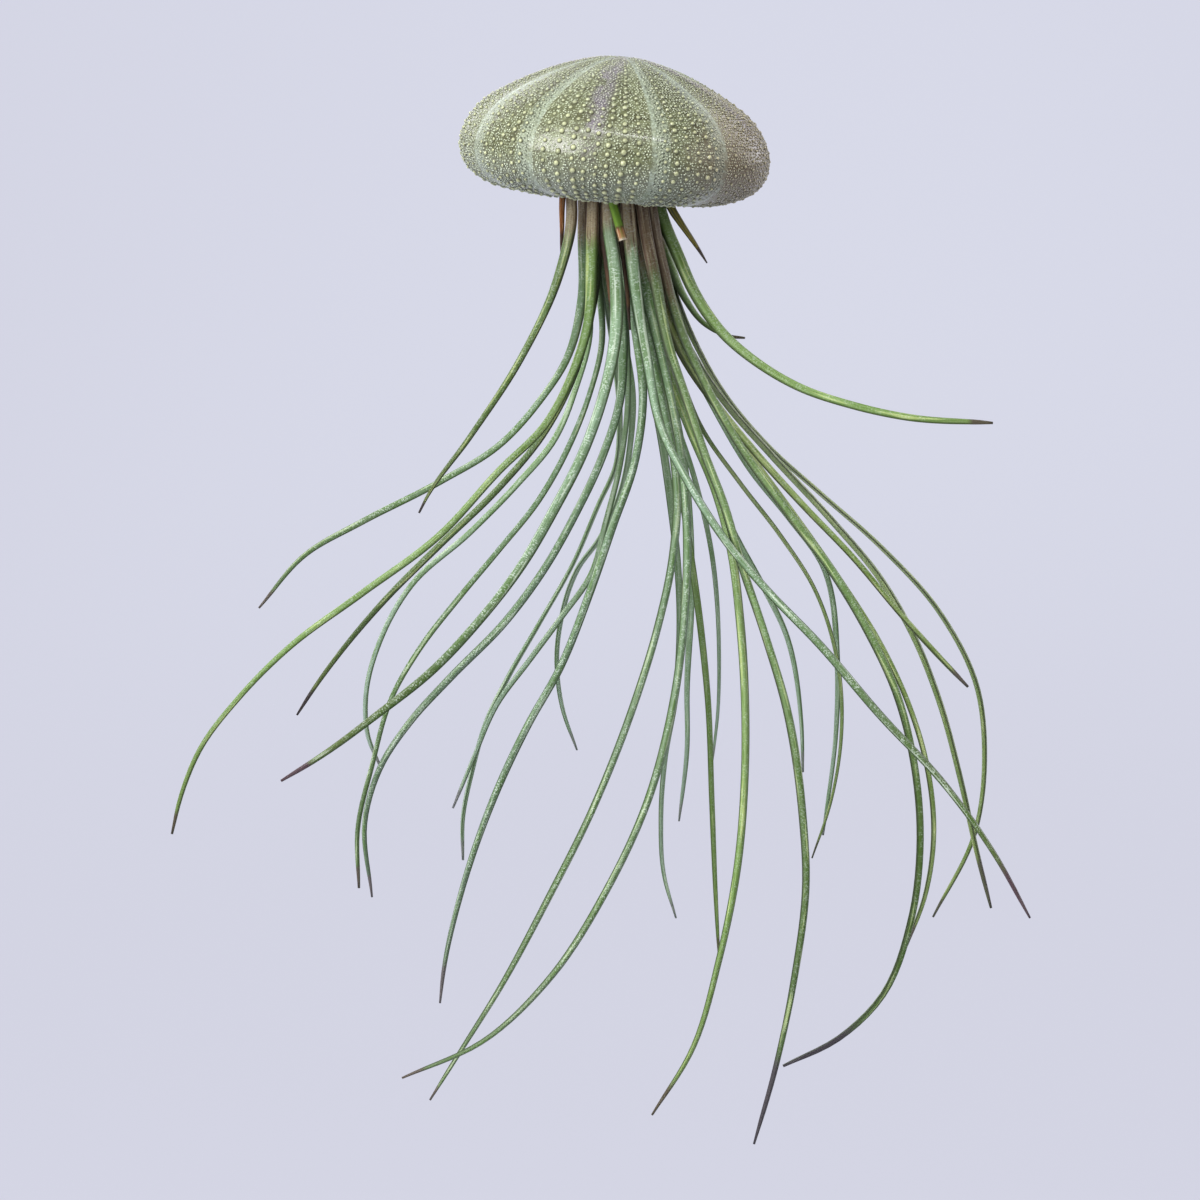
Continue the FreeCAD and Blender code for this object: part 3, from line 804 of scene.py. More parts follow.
def makeShellMaterial():
    material, shader = newMaterial("urchin shell")
    tones = shellTones
    place = objectPlace()
    split = addNode("ShaderNodeSeparateXYZ")
    plug(place, split.inputs[0])
    x, y, z = split.outputs
    noise = {key: noiseZone(place, *row) for key, row in shellNoise.items()}
    fades = shellFades
    fromAxis = calc("SQRT", calc("ADD", times(x, x), times(y, y)))
    # turn from the sector that faces the viewer, evened out again
    turn = calc("ARCTAN2", x, times(y, -1.0))
    turn = calc("SUBTRACT", turn, radians(shell["facing"]))
    sway = times(calc("SINE", turn), radians(shell["sway"]))
    turn = calc("SUBTRACT", turn, sway)
    sector = calc("ADD", times(turn, shell["sectors"] / (2 * pi)), sectorShift)
    offset = calc("SUBTRACT", calc("FRACT", sector), 0.5)
    fromMiddle = times(calc("ABSOLUTE", offset), radians(sectorSpan))
    along = attributeOf("along")
    isWall = calc("GREATER_THAN", along, 0.0001)  # along is 0 all over knobs and grains
    # pale line on each side of a narrow sector, and the zone of pores beside it
    scale, reach = shellWander["line"]
    wander = timesPlus(noiseOf(place, scale), reach, -reach / 2)
    past = times(calc("SUBTRACT", fromMiddle, radians(shell["bandAt"])), fromAxis)
    past = timesPlus(wander, 0.5, past)
    widened = calc("MULTIPLY", fromAxis, 1 / shell["fullWidthAt"], clamped=True)
    half = timesPlus(widened, shell["lineWidth"] / 2, shell["leastLine"])
    line = ease(calc("DIVIDE", calc("ABSOLUTE", past), half), *fades["line"])
    broken = calc("MAXIMUM", noise["broken"], ease(z, *fades["wholeLine"]))
    line = times(line, timesPlus(broken, 0.75, 0.25))
    beads = cellZone(place, *shellCells["beads"])
    line = times(line, timesPlus(beads, 0.5, 0.5))
    zoneShare = calc("DIVIDE", past, timesPlus(widened, shell["poreZone"], shell["leastZone"]))
    zone = times(ease(zoneShare, *fades["zoneStarts"]), ease(zoneShare, *fades["zoneEnds"]))
    band = calc("MAXIMUM", line, times(zone, 0.45))
    # violet seam down the middle of each wide sector
    seam = calc("ADD", times(fromMiddle, fromAxis), wander)
    violet = times(ease(seam, *fades["seam"]), ease(z, *fades["violet"]))
    violet = times(violet, noise["violet"])
    # brown side, and a paler zone near the mouth
    zones = []
    for key, position in (("brown", x), ("low", z)):
        scale, reach = shellWander[key]
        zones.append(ease(timesPlus(noiseOf(place, scale), reach, position), *fades[key]))
    brown, low = zones
    # pores: slanting rows of small holes in the bands
    across = times(times(offset, radians(sectorSpan)), fromAxis)
    slant = calc("ADD", along, times(calc("ABSOLUTE", across), 0.6))
    pores = cellZone(vectorOf(across, slant), *shellCells["pores"])
    pores = times(pores, calc("MAXIMUM", zone, times(line, 0.4)))
    pores = times(pores, isWall)
    # ground between the grains
    specks = cellZone(place, *shellCells["specks"])
    ground = layered(
        mixTone(noise["mottle"], tones["ground"], tones["groundPale"]),
        (noise["clouds"], 0.35, tones["groundPale"]), (low, 0.4, tones["low"]), (brown, 0.8, tones["brown"]),
        (violet, 0.7, tones["violet"]), (band, 0.8, tones["band"]), (specks, 0.42, tones["grain"]),
        (brown, 0.4, tones["brown"]), (pores, 0.9, tones["pore"]),
    )
    # knobs are cream, grains paler than the ground, and both have painted shade round the foot
    isKnob = attributeOf("knob")
    top = layered(
        tones["grain"], (noise["each"], 0.6, tones["groundPale"]), (violet, 0.7, tones["violetGrain"]),
        (band, 0.9, tones["bandGrain"]), (low, 0.6, tones["bandGrain"]),
    )
    cream = times(isKnob, ease(z, *fades["creamKnob"]))
    cream = timesPlus(cream, 0.5, times(isKnob, 0.5))
    top = mixTone(cream, top, tones["knob"])
    worn = times(noise["worn"], isKnob)
    top = layered(top, (worn, 0.4, tones["groundPale"]), (brown, 0.75, tones["brownGrain"]))
    # the foot tone is painted shade: each knob and grain darkens toward its base as if shaded there
    foot = mixTone(timesPlus(isKnob, 0.2, 0.55), ground, tones["foot"])
    foot = mixTone(isWall, foot, ground)
    colour = mixTone(ease(attributeOf("rise"), *fades["top"]), foot, top)
    lined = mixTone(noise["mottle"], tones["inner"], ground)
    colour = mixTone(attributeOf("inside"), colour, lined)
    plug(colour, shader.inputs["Base Color"])
    scale, depth, strength = shellRelief["coarse"]
    normal = bumpOf(cellsOf(place, scale), depth, strength)
    scale, depth, strength = shellRelief["fine"]
    normal = bumpOf(noiseOf(place, scale, roughness=0.65), depth, strength, under=normal)
    normal = bumpOf(times(pores, -1.0), *poreRelief, under=normal)
    plug(normal, shader.inputs["Normal"])
    plug(timesPlus(noise["mottle"], 0.16, 0.3), shader.inputs["Roughness"])
    shader.inputs["Specular IOR Level"].default_value = 0.5
    shader.inputs["Coat Weight"].default_value = 0.42
    shader.inputs["Coat Roughness"].default_value = 0.13
    return material


outline, outlineWays = shellOutline()
outlineReached = lengthwise(outline)
shellMaterial = makeShellMaterial()
makeWall()
knobs = knobPlaces()
makeKnobs(knobs)
print("shell wall and", len(knobs), "knobs made")
makeGrains(knobs)
print("grains made")


# Air plant: leaves, crown and roots

growth = {
    # the crown and its rings of leaves, as in the CAD
    "flangeThickness": 0.002,
    "rimInset": 0.0014,
    "bundleShift": 0.001,
    "ringPitch": 0.0027,
    "outerStep": 0.002,
    "ringStep": 0.003,
    "coreStep": 0.002,
    "collarRun": 0.0032,  # straight run of a leaf below the crown
    "sheathGap": 0.00036,  # between the sheaths of one ring
    "rimSheathShare": 1.3,
    "bladeWidth": 0.0022,
    "tipWidth": 0.00036,
    "plantReach": 0.11,  # toward the viewer or away, for a leaf whose depth is 1
    "spreadPower": 1.5,  # how late along its length a leaf takes up its depth
    "spreadLate": 1.2,
    "ringCounts": {"outer": 14, "middle": 10, "inner": 6},
    "lip": 0.00009,  # half the thickness of a leaf's edge
    "frontTurns": 100,  # leaves that grow within this turn from the front are turned toward the viewer
    "towardViewer": 0.8,  # share of its turn by which such a leaf still faces outward
    "sheathEnd": (0.018, 0.068),  # from the crown: the sheath narrows to the blade between these
    "brownEnd": (0.004, 0.02),  # from the mouth: the brown of the sheath fades between these
    "darkTip": 0.009,
    "tipFade": 0.35,  # share of the dark tip that is fully dark
    "twist": 22,  # a long leaf twists by up to this between the next shares of its length
    "twistRun": (0.3, 1.0),
    "waveCount": 3,  # slow waves in a leaf's width, each with a rate, a phase and a size
    "waveRate": (60, 130),
    "wavePhase": (0, 6.3),
    "waveSize": (0.01, 0.03),
    "seedStep": 0.05,  # sets each leaf's pattern apart from the next
    "edgeZone": 0.96,  # share of the half width from which a place is on the edge
    "girth": 1.3,  # way round one face of a blade, as a share of its width
    "channelShift": 0.01,  # sets the pattern of the channel apart from the outer face's
    "routeSteps": 12,  # places between two points of a leaf's route
    "stations": 84,  # steps along a leaf
    "around": 20,  # steps round it
}
# share of the length, way from the sheath's width to the blade's, width of that above the tip's,
# height of the outer curve and of the channel as shares of the width
longLeaf = [
    (0.0, 0.0, 1.0, 0.27, 0.12), (0.05, 0.0, 1.0, 0.27, 0.12), (0.1, 0.45, 1.0, 0.3, 0.12),
    (0.16, 0.9, 1.0, 0.36, 0.1), (0.25, 1.0, 1.0, 0.42, 0.07), (0.36, 1.0, 1.0, 0.45, 0.05),
    (0.48, 1.0, 0.98, 0.46, 0.02), (0.6, 1.0, 0.94, 0.47, -0.02), (0.72, 1.0, 0.86, 0.48, -0.1),
    (0.83, 1.0, 0.73, 0.48, -0.2), (0.92, 1.0, 0.56, 0.5, -0.34), (0.97, 1.0, 0.4, 0.5, -0.4),
    (1.0, 1.0, 0.1, 0.5, -0.45),
]
rimLeaf = [
    (0.0, 0.0, 1.0, 0.34, 0.17), (0.2, 0.0, 1.0, 0.34, 0.17), (0.32, 0.5, 1.0, 0.38, 0.12),
    (0.45, 1.0, 1.0, 0.42, 0.06), (0.62, 1.0, 0.9, 0.46, 0.0), (0.8, 1.0, 0.7, 0.48, -0.12),
    (0.92, 1.0, 0.45, 0.5, -0.3), (1.0, 1.0, 0.1, 0.5, -0.45),
]
shortLeaf = [
    (0.0, 0.0, 1.0, 0.34, 0.15), (0.1, 0.0, 1.0, 0.34, 0.15), (0.25, 0.2, 1.0, 0.36, 0.12),
    (0.5, 0.8, 1.0, 0.42, 0.04), (0.75, 1.0, 0.73, 0.46, -0.1), (0.9, 1.0, 0.4, 0.48, -0.3),
    (1.0, 1.0, 0.0, 0.5, -0.45),
]
dagger = [
    (0.0, 0.0, 1.0, 0.34, 0.15), (0.5, 0.0, 1.0, 0.36, 0.12), (0.6, 0.3, 0.9, 0.4, 0.06),
    (0.8, 1.0, 0.66, 0.46, -0.1), (0.92, 1.0, 0.3, 0.48, -0.3), (1.0, 1.0, 0.0, 0.5, -0.45),
]
cutLeaf = [
    (0.0, 1.0, 1.0, 0.4, 0.1), (0.35, 1.0, 1.0, 0.42, 0.08), (0.7, 1.0, 0.98, 0.42, 0.06),
    (1.0, 1.0, 0.93, 0.42, 0.04),
]
drySheath = [
    (0.0, 1.0, 1.0, 0.26, 0.06), (0.35, 1.0, 1.0, 0.26, 0.06), (0.65, 1.0, 0.88, 0.28, 0.04),
    (0.85, 1.0, 0.53, 0.32, 0.0), (1.0, 1.0, 0.1, 0.4, -0.2),
]

# each leaf: ring, turn round the bundle, depth of its tip as a share of the plant's reach,
# width of its blade as a share, finish, and the pixels of its middle line in the photograph
leaves = {
    "leaf_left_01": ("outer", -64.3, -0.05, 1, "sage", [
        (584, 222), (583, 300), (567, 360), (541, 400), (500, 445), (440, 482), (360, 523), (305, 555),
        (259, 608),
    ]),
    "leaf_left_02": ("outer", -38.6, -0.14, 1, "bright", [
        (593, 215), (592, 260), (588, 325), (573, 372), (545, 425), (500, 470), (440, 535), (360, 595),
        (290, 647), (240, 697), (200, 750), (180, 800), (172, 834),
    ]),
    "leaf_left_03": ("middle", -54, -0.04, 1, "worn", [
        (597, 225), (596, 280), (587, 330), (572, 380), (545, 432), (500, 487), (440, 545), (385, 600),
        (340, 653), (313, 690), (297, 715),
    ]),
    "leaf_left_04": ("outer", -90, 0.4, 1, "pale", [
        (584, 225), (590, 285), (591, 335), (578, 385), (555, 440), (520, 482), (470, 533), (412, 585),
        (383, 635), (366, 700), (368, 735), (381, 768),
    ]),
    "leaf_left_05": ("middle", -90, 0.32, 1, "sage", [
        (593, 225), (600, 280), (603, 345), (592, 390), (573, 440), (540, 500), (500, 550), (460, 598),
        (420, 650), (393, 697), (373, 765), (358, 830), (359, 888),
    ]),
    "leaf_left_06": ("outer", -12.9, -0.68, 1.3, "front", [
        (608, 215), (616, 280), (615, 340), (602, 400), (583, 453), (555, 508), (520, 568), (480, 620),
        (430, 673), (380, 713), (320, 757), (281, 781),
    ]),
    "leaf_left_07": ("inner", -30, 0.09, 1, "silver", [
        (613, 225), (620, 290), (623, 350), (620, 400), (603, 455), (575, 515), (545, 568), (505, 622),
        (450, 678), (410, 722), (380, 768), (365, 820), (372, 897),
    ]),
    "leaf_left_08": ("inner", -90, 0.42, 1, "pale", [
        (612, 225), (622, 280), (628, 340), (629, 400), (622, 460), (606, 525), (593, 572), (562, 617),
        (530, 660), (497, 705), (475, 755), (453, 808),
    ]),
    "leaf_left_09": ("outer", -115.7, 0.5, 1, "pale", [
        (596, 225), (606, 290), (616, 360), (621, 420), (617, 467), (600, 505), (575, 563), (540, 625),
        (508, 680), (488, 720), (473, 770), (463, 820), (463, 860),
    ]),
    "leaf_left_10": ("outer", -141.4, 0.78, 1, "pale", [
        (600, 225), (612, 290), (626, 350), (633, 400), (631, 440), (622, 490), (600, 540), (578, 570),
        (562, 617), (557, 660), (563, 710), (577, 750),
    ]),
    "leaf_left_11": ("middle", -18, -0.1, 1, "silver", [
        (614, 222), (628, 275), (638, 340), (643, 400), (634, 465), (613, 525), (590, 592), (560, 668),
        (528, 725), (493, 800), (462, 890), (443, 975), (440, 1003),
    ]),
    "leaf_right_01": ("inner", 30, -0.36, 1, "sage", [
        (628, 225), (640, 290), (650, 345), (662, 400), (674, 460), (677, 500), (673, 555), (657, 630),
        (632, 710), (590, 815), (550, 895), (500, 988), (460, 1052), (430, 1100),
    ]),
    "leaf_right_02": ("middle", 18, -0.5, 1, "sage", [
        (630, 225), (646, 290), (660, 350), (671, 400), (682, 465), (687, 530), (684, 620), (672, 710),
        (648, 800), (605, 893), (550, 978), (485, 1040), (402, 1078),
    ]),
    "leaf_right_03": ("outer", -167.1, 0.73, 1, "pale", [
        (612, 225), (626, 290), (645, 360), (660, 430), (671, 505), (678, 570), (680, 620), (675, 700),
        (665, 760), (661, 820), (664, 875), (676, 918),
    ]),
    "leaf_right_04": ("outer", 167.1, 0.82, 1, "pale", [
        (628, 225), (645, 300), (665, 370), (682, 450), (690, 530), (691, 600), (687, 690), (687, 750),
        (679, 821),
    ]),
    "leaf_right_05": ("inner", -150, 0.34, 1, "bright", [
        (614, 225), (636, 300), (659, 380), (678, 470), (690, 550), (701, 630), (708, 700), (712, 800),
        (716, 900), (719, 958),
    ]),
    "leaf_right_06": ("middle", -162, 0.68, 0.7, "pale", [
        (612, 225), (640, 310), (668, 400), (695, 480), (712, 555), (719, 650), (718, 710), (712, 765),
    ]),
    "leaf_right_07": ("core", 0, -0.45, 1, "bright", [
        (624, 225), (645, 300), (667, 370), (690, 430), (715, 490), (731, 550), (740, 620), (745, 700),
        (745, 770), (737, 870), (719, 960), (692, 1050), (652, 1115),
    ]),
    "leaf_right_08": ("outer", 38.6, -0.55, 1.12, "dark", [
        (644, 222), (655, 280), (667, 340), (687, 400), (705, 455), (724, 505), (740, 560), (765, 635),
        (787, 710), (803, 820), (806, 880), (794, 980), (775, 1070), (754, 1144),
    ]),
    "leaf_right_09": ("inner", 150, 0.45, 1, "pale", [
        (628, 225), (648, 300), (675, 380), (702, 450), (730, 525), (762, 585), (786, 635), (801, 720),
        (803, 772),
    ]),
    "leaf_right_10": ("outer", 64.3, -0.45, 1.3, "dark", [
        (654, 225), (664, 275), (680, 330), (705, 385), (745, 455), (785, 510), (830, 570), (866, 630),
        (896, 695), (914, 770), (919, 840), (910, 920), (880, 998), (840, 1037), (783, 1066),
    ]),
    "leaf_right_11": ("inner", 90, 0.0, 1, "olive", [
        (636, 225), (656, 300), (682, 360), (720, 415), (760, 470), (800, 525), (840, 582), (880, 645),
        (908, 705), (926, 765), (933, 840), (925, 895), (907, 945),
    ]),
    "leaf_right_12": ("middle", 162, 0.56, 0.62, "olive", [
        (630, 225), (650, 300), (678, 370), (700, 425), (740, 483), (780, 535), (815, 590), (838, 665),
        (841, 740), (830, 805), (812, 858),
    ]),
    "leaf_right_13": ("outer", 141.4, 0.64, 1, "pale", [
        (643, 225), (660, 290), (684, 350), (712, 405), (750, 470), (790, 520), (822, 565), (837, 660),
        (836, 730), (823, 835),
    ]),
    "leaf_right_14": ("outer", 115.7, 0.45, 1, "olive", [
        (655, 225), (670, 285), (690, 335), (725, 397), (765, 445), (820, 495), (880, 548), (940, 615),
        (977, 690), (984, 750), (974, 835), (933, 917),
    ]),
    "leaf_right_15": ("outer", 12.9, -0.5, 1, "front", [
        (629, 222), (637, 300), (648, 365), (660, 425), (688, 482), (725, 540), (765, 588), (820, 645),
        (880, 715), (945, 785), (995, 855), (1030, 918),
    ]),
    "leaf_right_16": ("middle", 126, 0.08, 1.15, "olive", [
        (641, 225), (660, 290), (686, 345), (722, 400), (770, 455), (830, 520), (880, 580), (912, 635),
        (938, 700), (960, 780), (976, 850), (991, 908),
    ]),
    "leaf_right_17": ("middle", 54, -0.12, 1.1, "olive", [
        (641, 222), (658, 290), (682, 350), (715, 403), (757, 455), (805, 508), (850, 555), (905, 620),
        (940, 658), (968, 687),
    ]),
    "leaf_right_18": ("outer", 90, -0.18, 1.28, "bright", [
        (662, 218), (677, 255), (695, 295), (722, 333), (760, 365), (800, 388), (850, 405), (910, 418),
        (993, 423),
    ]),
    "leaf_right_19": ("middle", 90, 0.09, 0.55, "bright", [
        (652, 222), (668, 265), (683, 298), (705, 325), (727, 336), (745, 338),
    ]),
    "leaf_rim_left": ("rim", -52, -0.27, 1, "worn", [
        (572, 215), (559, 275), (520, 360), (470, 437), (426, 499), (419, 513),
    ]),
    "leaf_rim_dry": ("rim", -78, -0.03, 0.8, "rust", [(562, 208), (562, 230), (561, 255)]),
    "leaf_rim_right": ("rim", 84, 0.0, 0.85, "dagger", [
        (668, 204), (674, 213), (682, 225), (691, 238), (699, 250), (707, 263),
    ]),
    "leaf_rim_cut": ("rim", 2, -0.12, 1.1, "cut", [(616, 215), (623, 240)]),
    "dry_sheath_left": ("between", -25.7, -0.06, 0.85, "husk", [(602, 225), (607, 265), (613, 325)]),
    "dry_sheath_middle": ("between", 0, -0.078, 0.8, "husk", [(619, 222), (625, 265), (630, 330)]),
    "dry_sheath_right": ("between", 51.4, -0.04, 0.85, "husk", [(648, 222), (658, 262), (672, 310)]),
}
# width of the sheath as a share of the blade's, where it isn't the usual one
rimSheathShares = {"leaf_rim_left": 1.4, "leaf_rim_dry": 1.5}
# turn that the leaf faces, where it isn't the usual one
facingTurns = {
    "leaf_rim_left": -25, "leaf_rim_dry": -25, "leaf_rim_right": 20, "leaf_rim_cut": 2, "leaf_right_18": 38,
}
# form of the leaf, where it isn't a long leaf
leafForms = {
    "leaf_rim_left": rimLeaf, "leaf_rim_dry": shortLeaf, "leaf_rim_right": dagger, "leaf_rim_cut": cutLeaf,
    "dry_sheath_left": drySheath, "dry_sheath_middle": drySheath, "dry_sheath_right": drySheath,
}
# distances past the mouth between which the brown of a sheath fades, where they aren't the usual ones
brownRuns = {
    "leaf_left_01": (0.004, 0.018), "leaf_left_02": (0.004, 0.015), "leaf_left_06": (-0.001, 0.012),
    "leaf_left_11": (0.004, 0.018), "leaf_right_01": (0.01, 0.032), "leaf_right_02": (0.008, 0.028),
    "leaf_right_08": (0.008, 0.026), "leaf_right_10": (0.01, 0.036), "leaf_right_11": (0.012, 0.044),
    "leaf_right_15": (0.004, 0.018), "leaf_right_17": (0.012, 0.044), "leaf_right_18": (-0.006, 0.003),
    "leaf_rim_left": (0.001, 0.018), "leaf_rim_right": (-0.01, -0.004), "leaf_rim_cut": (-0.01, -0.004),
}
# length of the dark tip, where it isn't the usual one
tipRuns = {
    "leaf_left_03": 0.012, "leaf_left_06": 0.013, "leaf_right_08": 0.034, "leaf_right_10": 0.03,
    "leaf_right_15": 0.022, "leaf_right_16": 0.022, "leaf_right_07": 0.014, "leaf_left_11": 0.016,
    "leaf_right_01": 0.006, "leaf_rim_left": 0.005, "leaf_rim_right": 0.007, "leaf_rim_cut": 0.0001,
}

# tones of each finish: its stripes, edges (darker, partly as painted shade), sheath, tip and gleams, how much
# of it the silver scales cover, and the tones of its blade with the share of the length where each stands
finishColumns = ("stripe", "edge", "sheath", "tip", "gleam", "scales", "blade")
leafTones = {
    "sage": ((76, 110, 38), (48, 70, 24), (164, 148, 116), (84, 72, 66), (186, 202, 160), 0.46, [
        (0.0, (133, 156, 113)), (0.2, (112, 140, 102)), (0.45, (107, 132, 101)), (0.75, (93, 116, 77)),
        (1.0, (84, 102, 68)),
    ]),
    "silver": ((82, 116, 48), (50, 74, 34), (158, 142, 110), (96, 88, 90), (190, 208, 178), 0.54, [
        (0.0, (122, 140, 102)), (0.2, (112, 139, 105)), (0.5, (105, 130, 101)), (0.8, (95, 117, 91)),
        (1.0, (84, 98, 84)),
    ]),
    "front": ((74, 106, 40), (44, 64, 24), (166, 150, 118), (74, 50, 62), (206, 220, 196), 0.54, [
        (0.0, (132, 146, 107)), (0.15, (125, 152, 118)), (0.4, (126, 152, 125)), (0.6, (102, 128, 91)),
        (0.8, (70, 90, 44)), (1.0, (87, 94, 48)),
    ]),
    "bright": ((82, 112, 36), (50, 68, 18), (152, 136, 104), (72, 60, 48), (188, 202, 132), 0.26, [
        (0.0, (100, 124, 58)), (0.2, (109, 137, 75)), (0.5, (124, 150, 91)), (0.75, (111, 141, 73)),
        (1.0, (100, 120, 66)),
    ]),
    "worn": ((78, 100, 36), (38, 42, 16), (150, 136, 104), (50, 38, 42), (176, 186, 124), 0.24, [
        (0.0, (77, 95, 47)), (0.35, (84, 108, 60)), (0.6, (77, 101, 52)), (0.85, (67, 88, 38)),
        (1.0, (84, 95, 43)),
    ]),
    "pale": ((84, 118, 52), (58, 82, 42), (130, 116, 88), (116, 116, 116), (194, 210, 180), 0.38, [
        (0.0, (136, 154, 106)), (0.3, (145, 172, 127)), (0.6, (132, 157, 122)), (0.85, (134, 156, 135)),
        (1.0, (143, 159, 149)),
    ]),
    "olive": ((74, 102, 28), (42, 50, 18), (118, 102, 74), (74, 64, 62), (192, 200, 140), 0.24, [
        (0.0, (110, 110, 70)), (0.2, (120, 130, 76)), (0.45, (150, 166, 108)), (0.7, (122, 144, 78)),
        (1.0, (116, 132, 82)),
    ]),
    "dark": ((64, 94, 26), (36, 48, 16), (112, 94, 70), (58, 50, 60), (184, 200, 140), 0.22, [
        (0.0, (81, 93, 57)), (0.25, (96, 119, 71)), (0.45, (102, 131, 75)), (0.7, (73, 97, 44)),
        (1.0, (66, 85, 48)),
    ]),
    "dagger": ((150, 138, 54), (22, 20, 10), (70, 72, 40), (58, 46, 44), (150, 138, 58), 0.0, [
        (0.0, (42, 56, 18)), (0.5, (50, 60, 20)), (0.8, (46, 46, 20)), (1.0, (40, 32, 22)),
    ]),
    "cut": ((88, 126, 32), (90, 104, 40), (120, 152, 62), (236, 222, 196), (168, 196, 92), 0.0, [
        (0.0, (126, 162, 52)), (0.84, (118, 158, 44)), (0.865, (98, 56, 26)), (0.9, (176, 104, 58)),
        (0.97, (196, 142, 98)), (1.0, (240, 228, 206)),
    ]),
    "rust": ((104, 58, 26), (60, 36, 20), (150, 94, 44), (56, 40, 30), (226, 170, 96), 0.0, [
        (0.0, (140, 84, 36)), (0.5, (208, 136, 62)), (0.85, (182, 120, 56)), (1.0, (96, 60, 36)),
    ]),
    "husk": ((34, 24, 18), (28, 20, 14), (54, 40, 32), (52, 38, 28), (128, 98, 70), 0.0, [
        (0.0, (66, 48, 34)), (0.6, (62, 42, 30)), (0.85, (108, 78, 50)), (1.0, (70, 50, 34)),
    ]),
}
# tones that every finish shares
skinTones = {
    "scale": (218, 231, 218),
    "sheathStreak": (82, 56, 36),
    "sheathPale": (188, 174, 142),
    "sheathScale": (206, 204, 190),
    "sheathSpeck": (54, 42, 32),
    # darker sheath edges, partly painted shade
    "sheathEdge": (76, 50, 32),
    "sheathRimHighlight": (196, 184, 154),
    "daggerMiddle": (140, 128, 40),
    "cutLine": (238, 214, 174),
    "cutEdge": (118, 58, 24),
}
# zones of noise: scale, detail, and the values between which each fades in
leafNoise = {
    "stripes": (2300.0, 2.0, 0.44, 0.62),
    "fading": (60.0, 1.0, 0.3, 0.6),  # the stripes fade and come back
    "gleams": (1700.0, 1.0, 0.57, 0.66),
    "blotches": (240.0, 3.0, 0.42, 0.72),
    "patches": (420.0, 2.0, 0.34, 0.6),  # the scales lie in patches
    "cutLines": (1900.0, 1.0, 0.5, 0.6),
}
# zones of cells: scale, randomness, and the values between which each fades in
leafCells = {"flakes": (2500.0, 1.0, 0.6, 0.2), "specks": (2100.0, 1.0, 0.3, 0.12)}
# values between which other zones fade in
leafFades = {
    "ridge": (0.98, 0.35),  # shares of the half width, down to "middle"
    "edge": (0.68, 0.95),
    "rim": (0.93, 0.985),
    "middle": (0.34, 0.12),
    "scalesEnd": (1.0, 0.8),  # shares of the length
    "cutEnd": (0.86, 0.89),
    "sheath": (0.15, 0.85),
    "darkStreaks": (0.5, 0.64),
    "paleStreaks": (0.46, 0.34),
    "tip": (0.3, 0.8),
}
# scale of the noise of each, and the depth and strength of each relief
leafScales = {"streaks": 3200.0, "ending": 500.0, "ribs": 4200.0}
leafRelief = {"ribs": (0.00018, 0.75), "flakes": (0.00004, 0.5)}
leafGloss = {"living": 0.36, "dry": 0.6}  # roughness between the patches of scales
strandStretch = (1.0, 0.03, 1.0)
leafValues = ("share", "across", "girth", "channel", "run", "seed", "sheath", "tip")


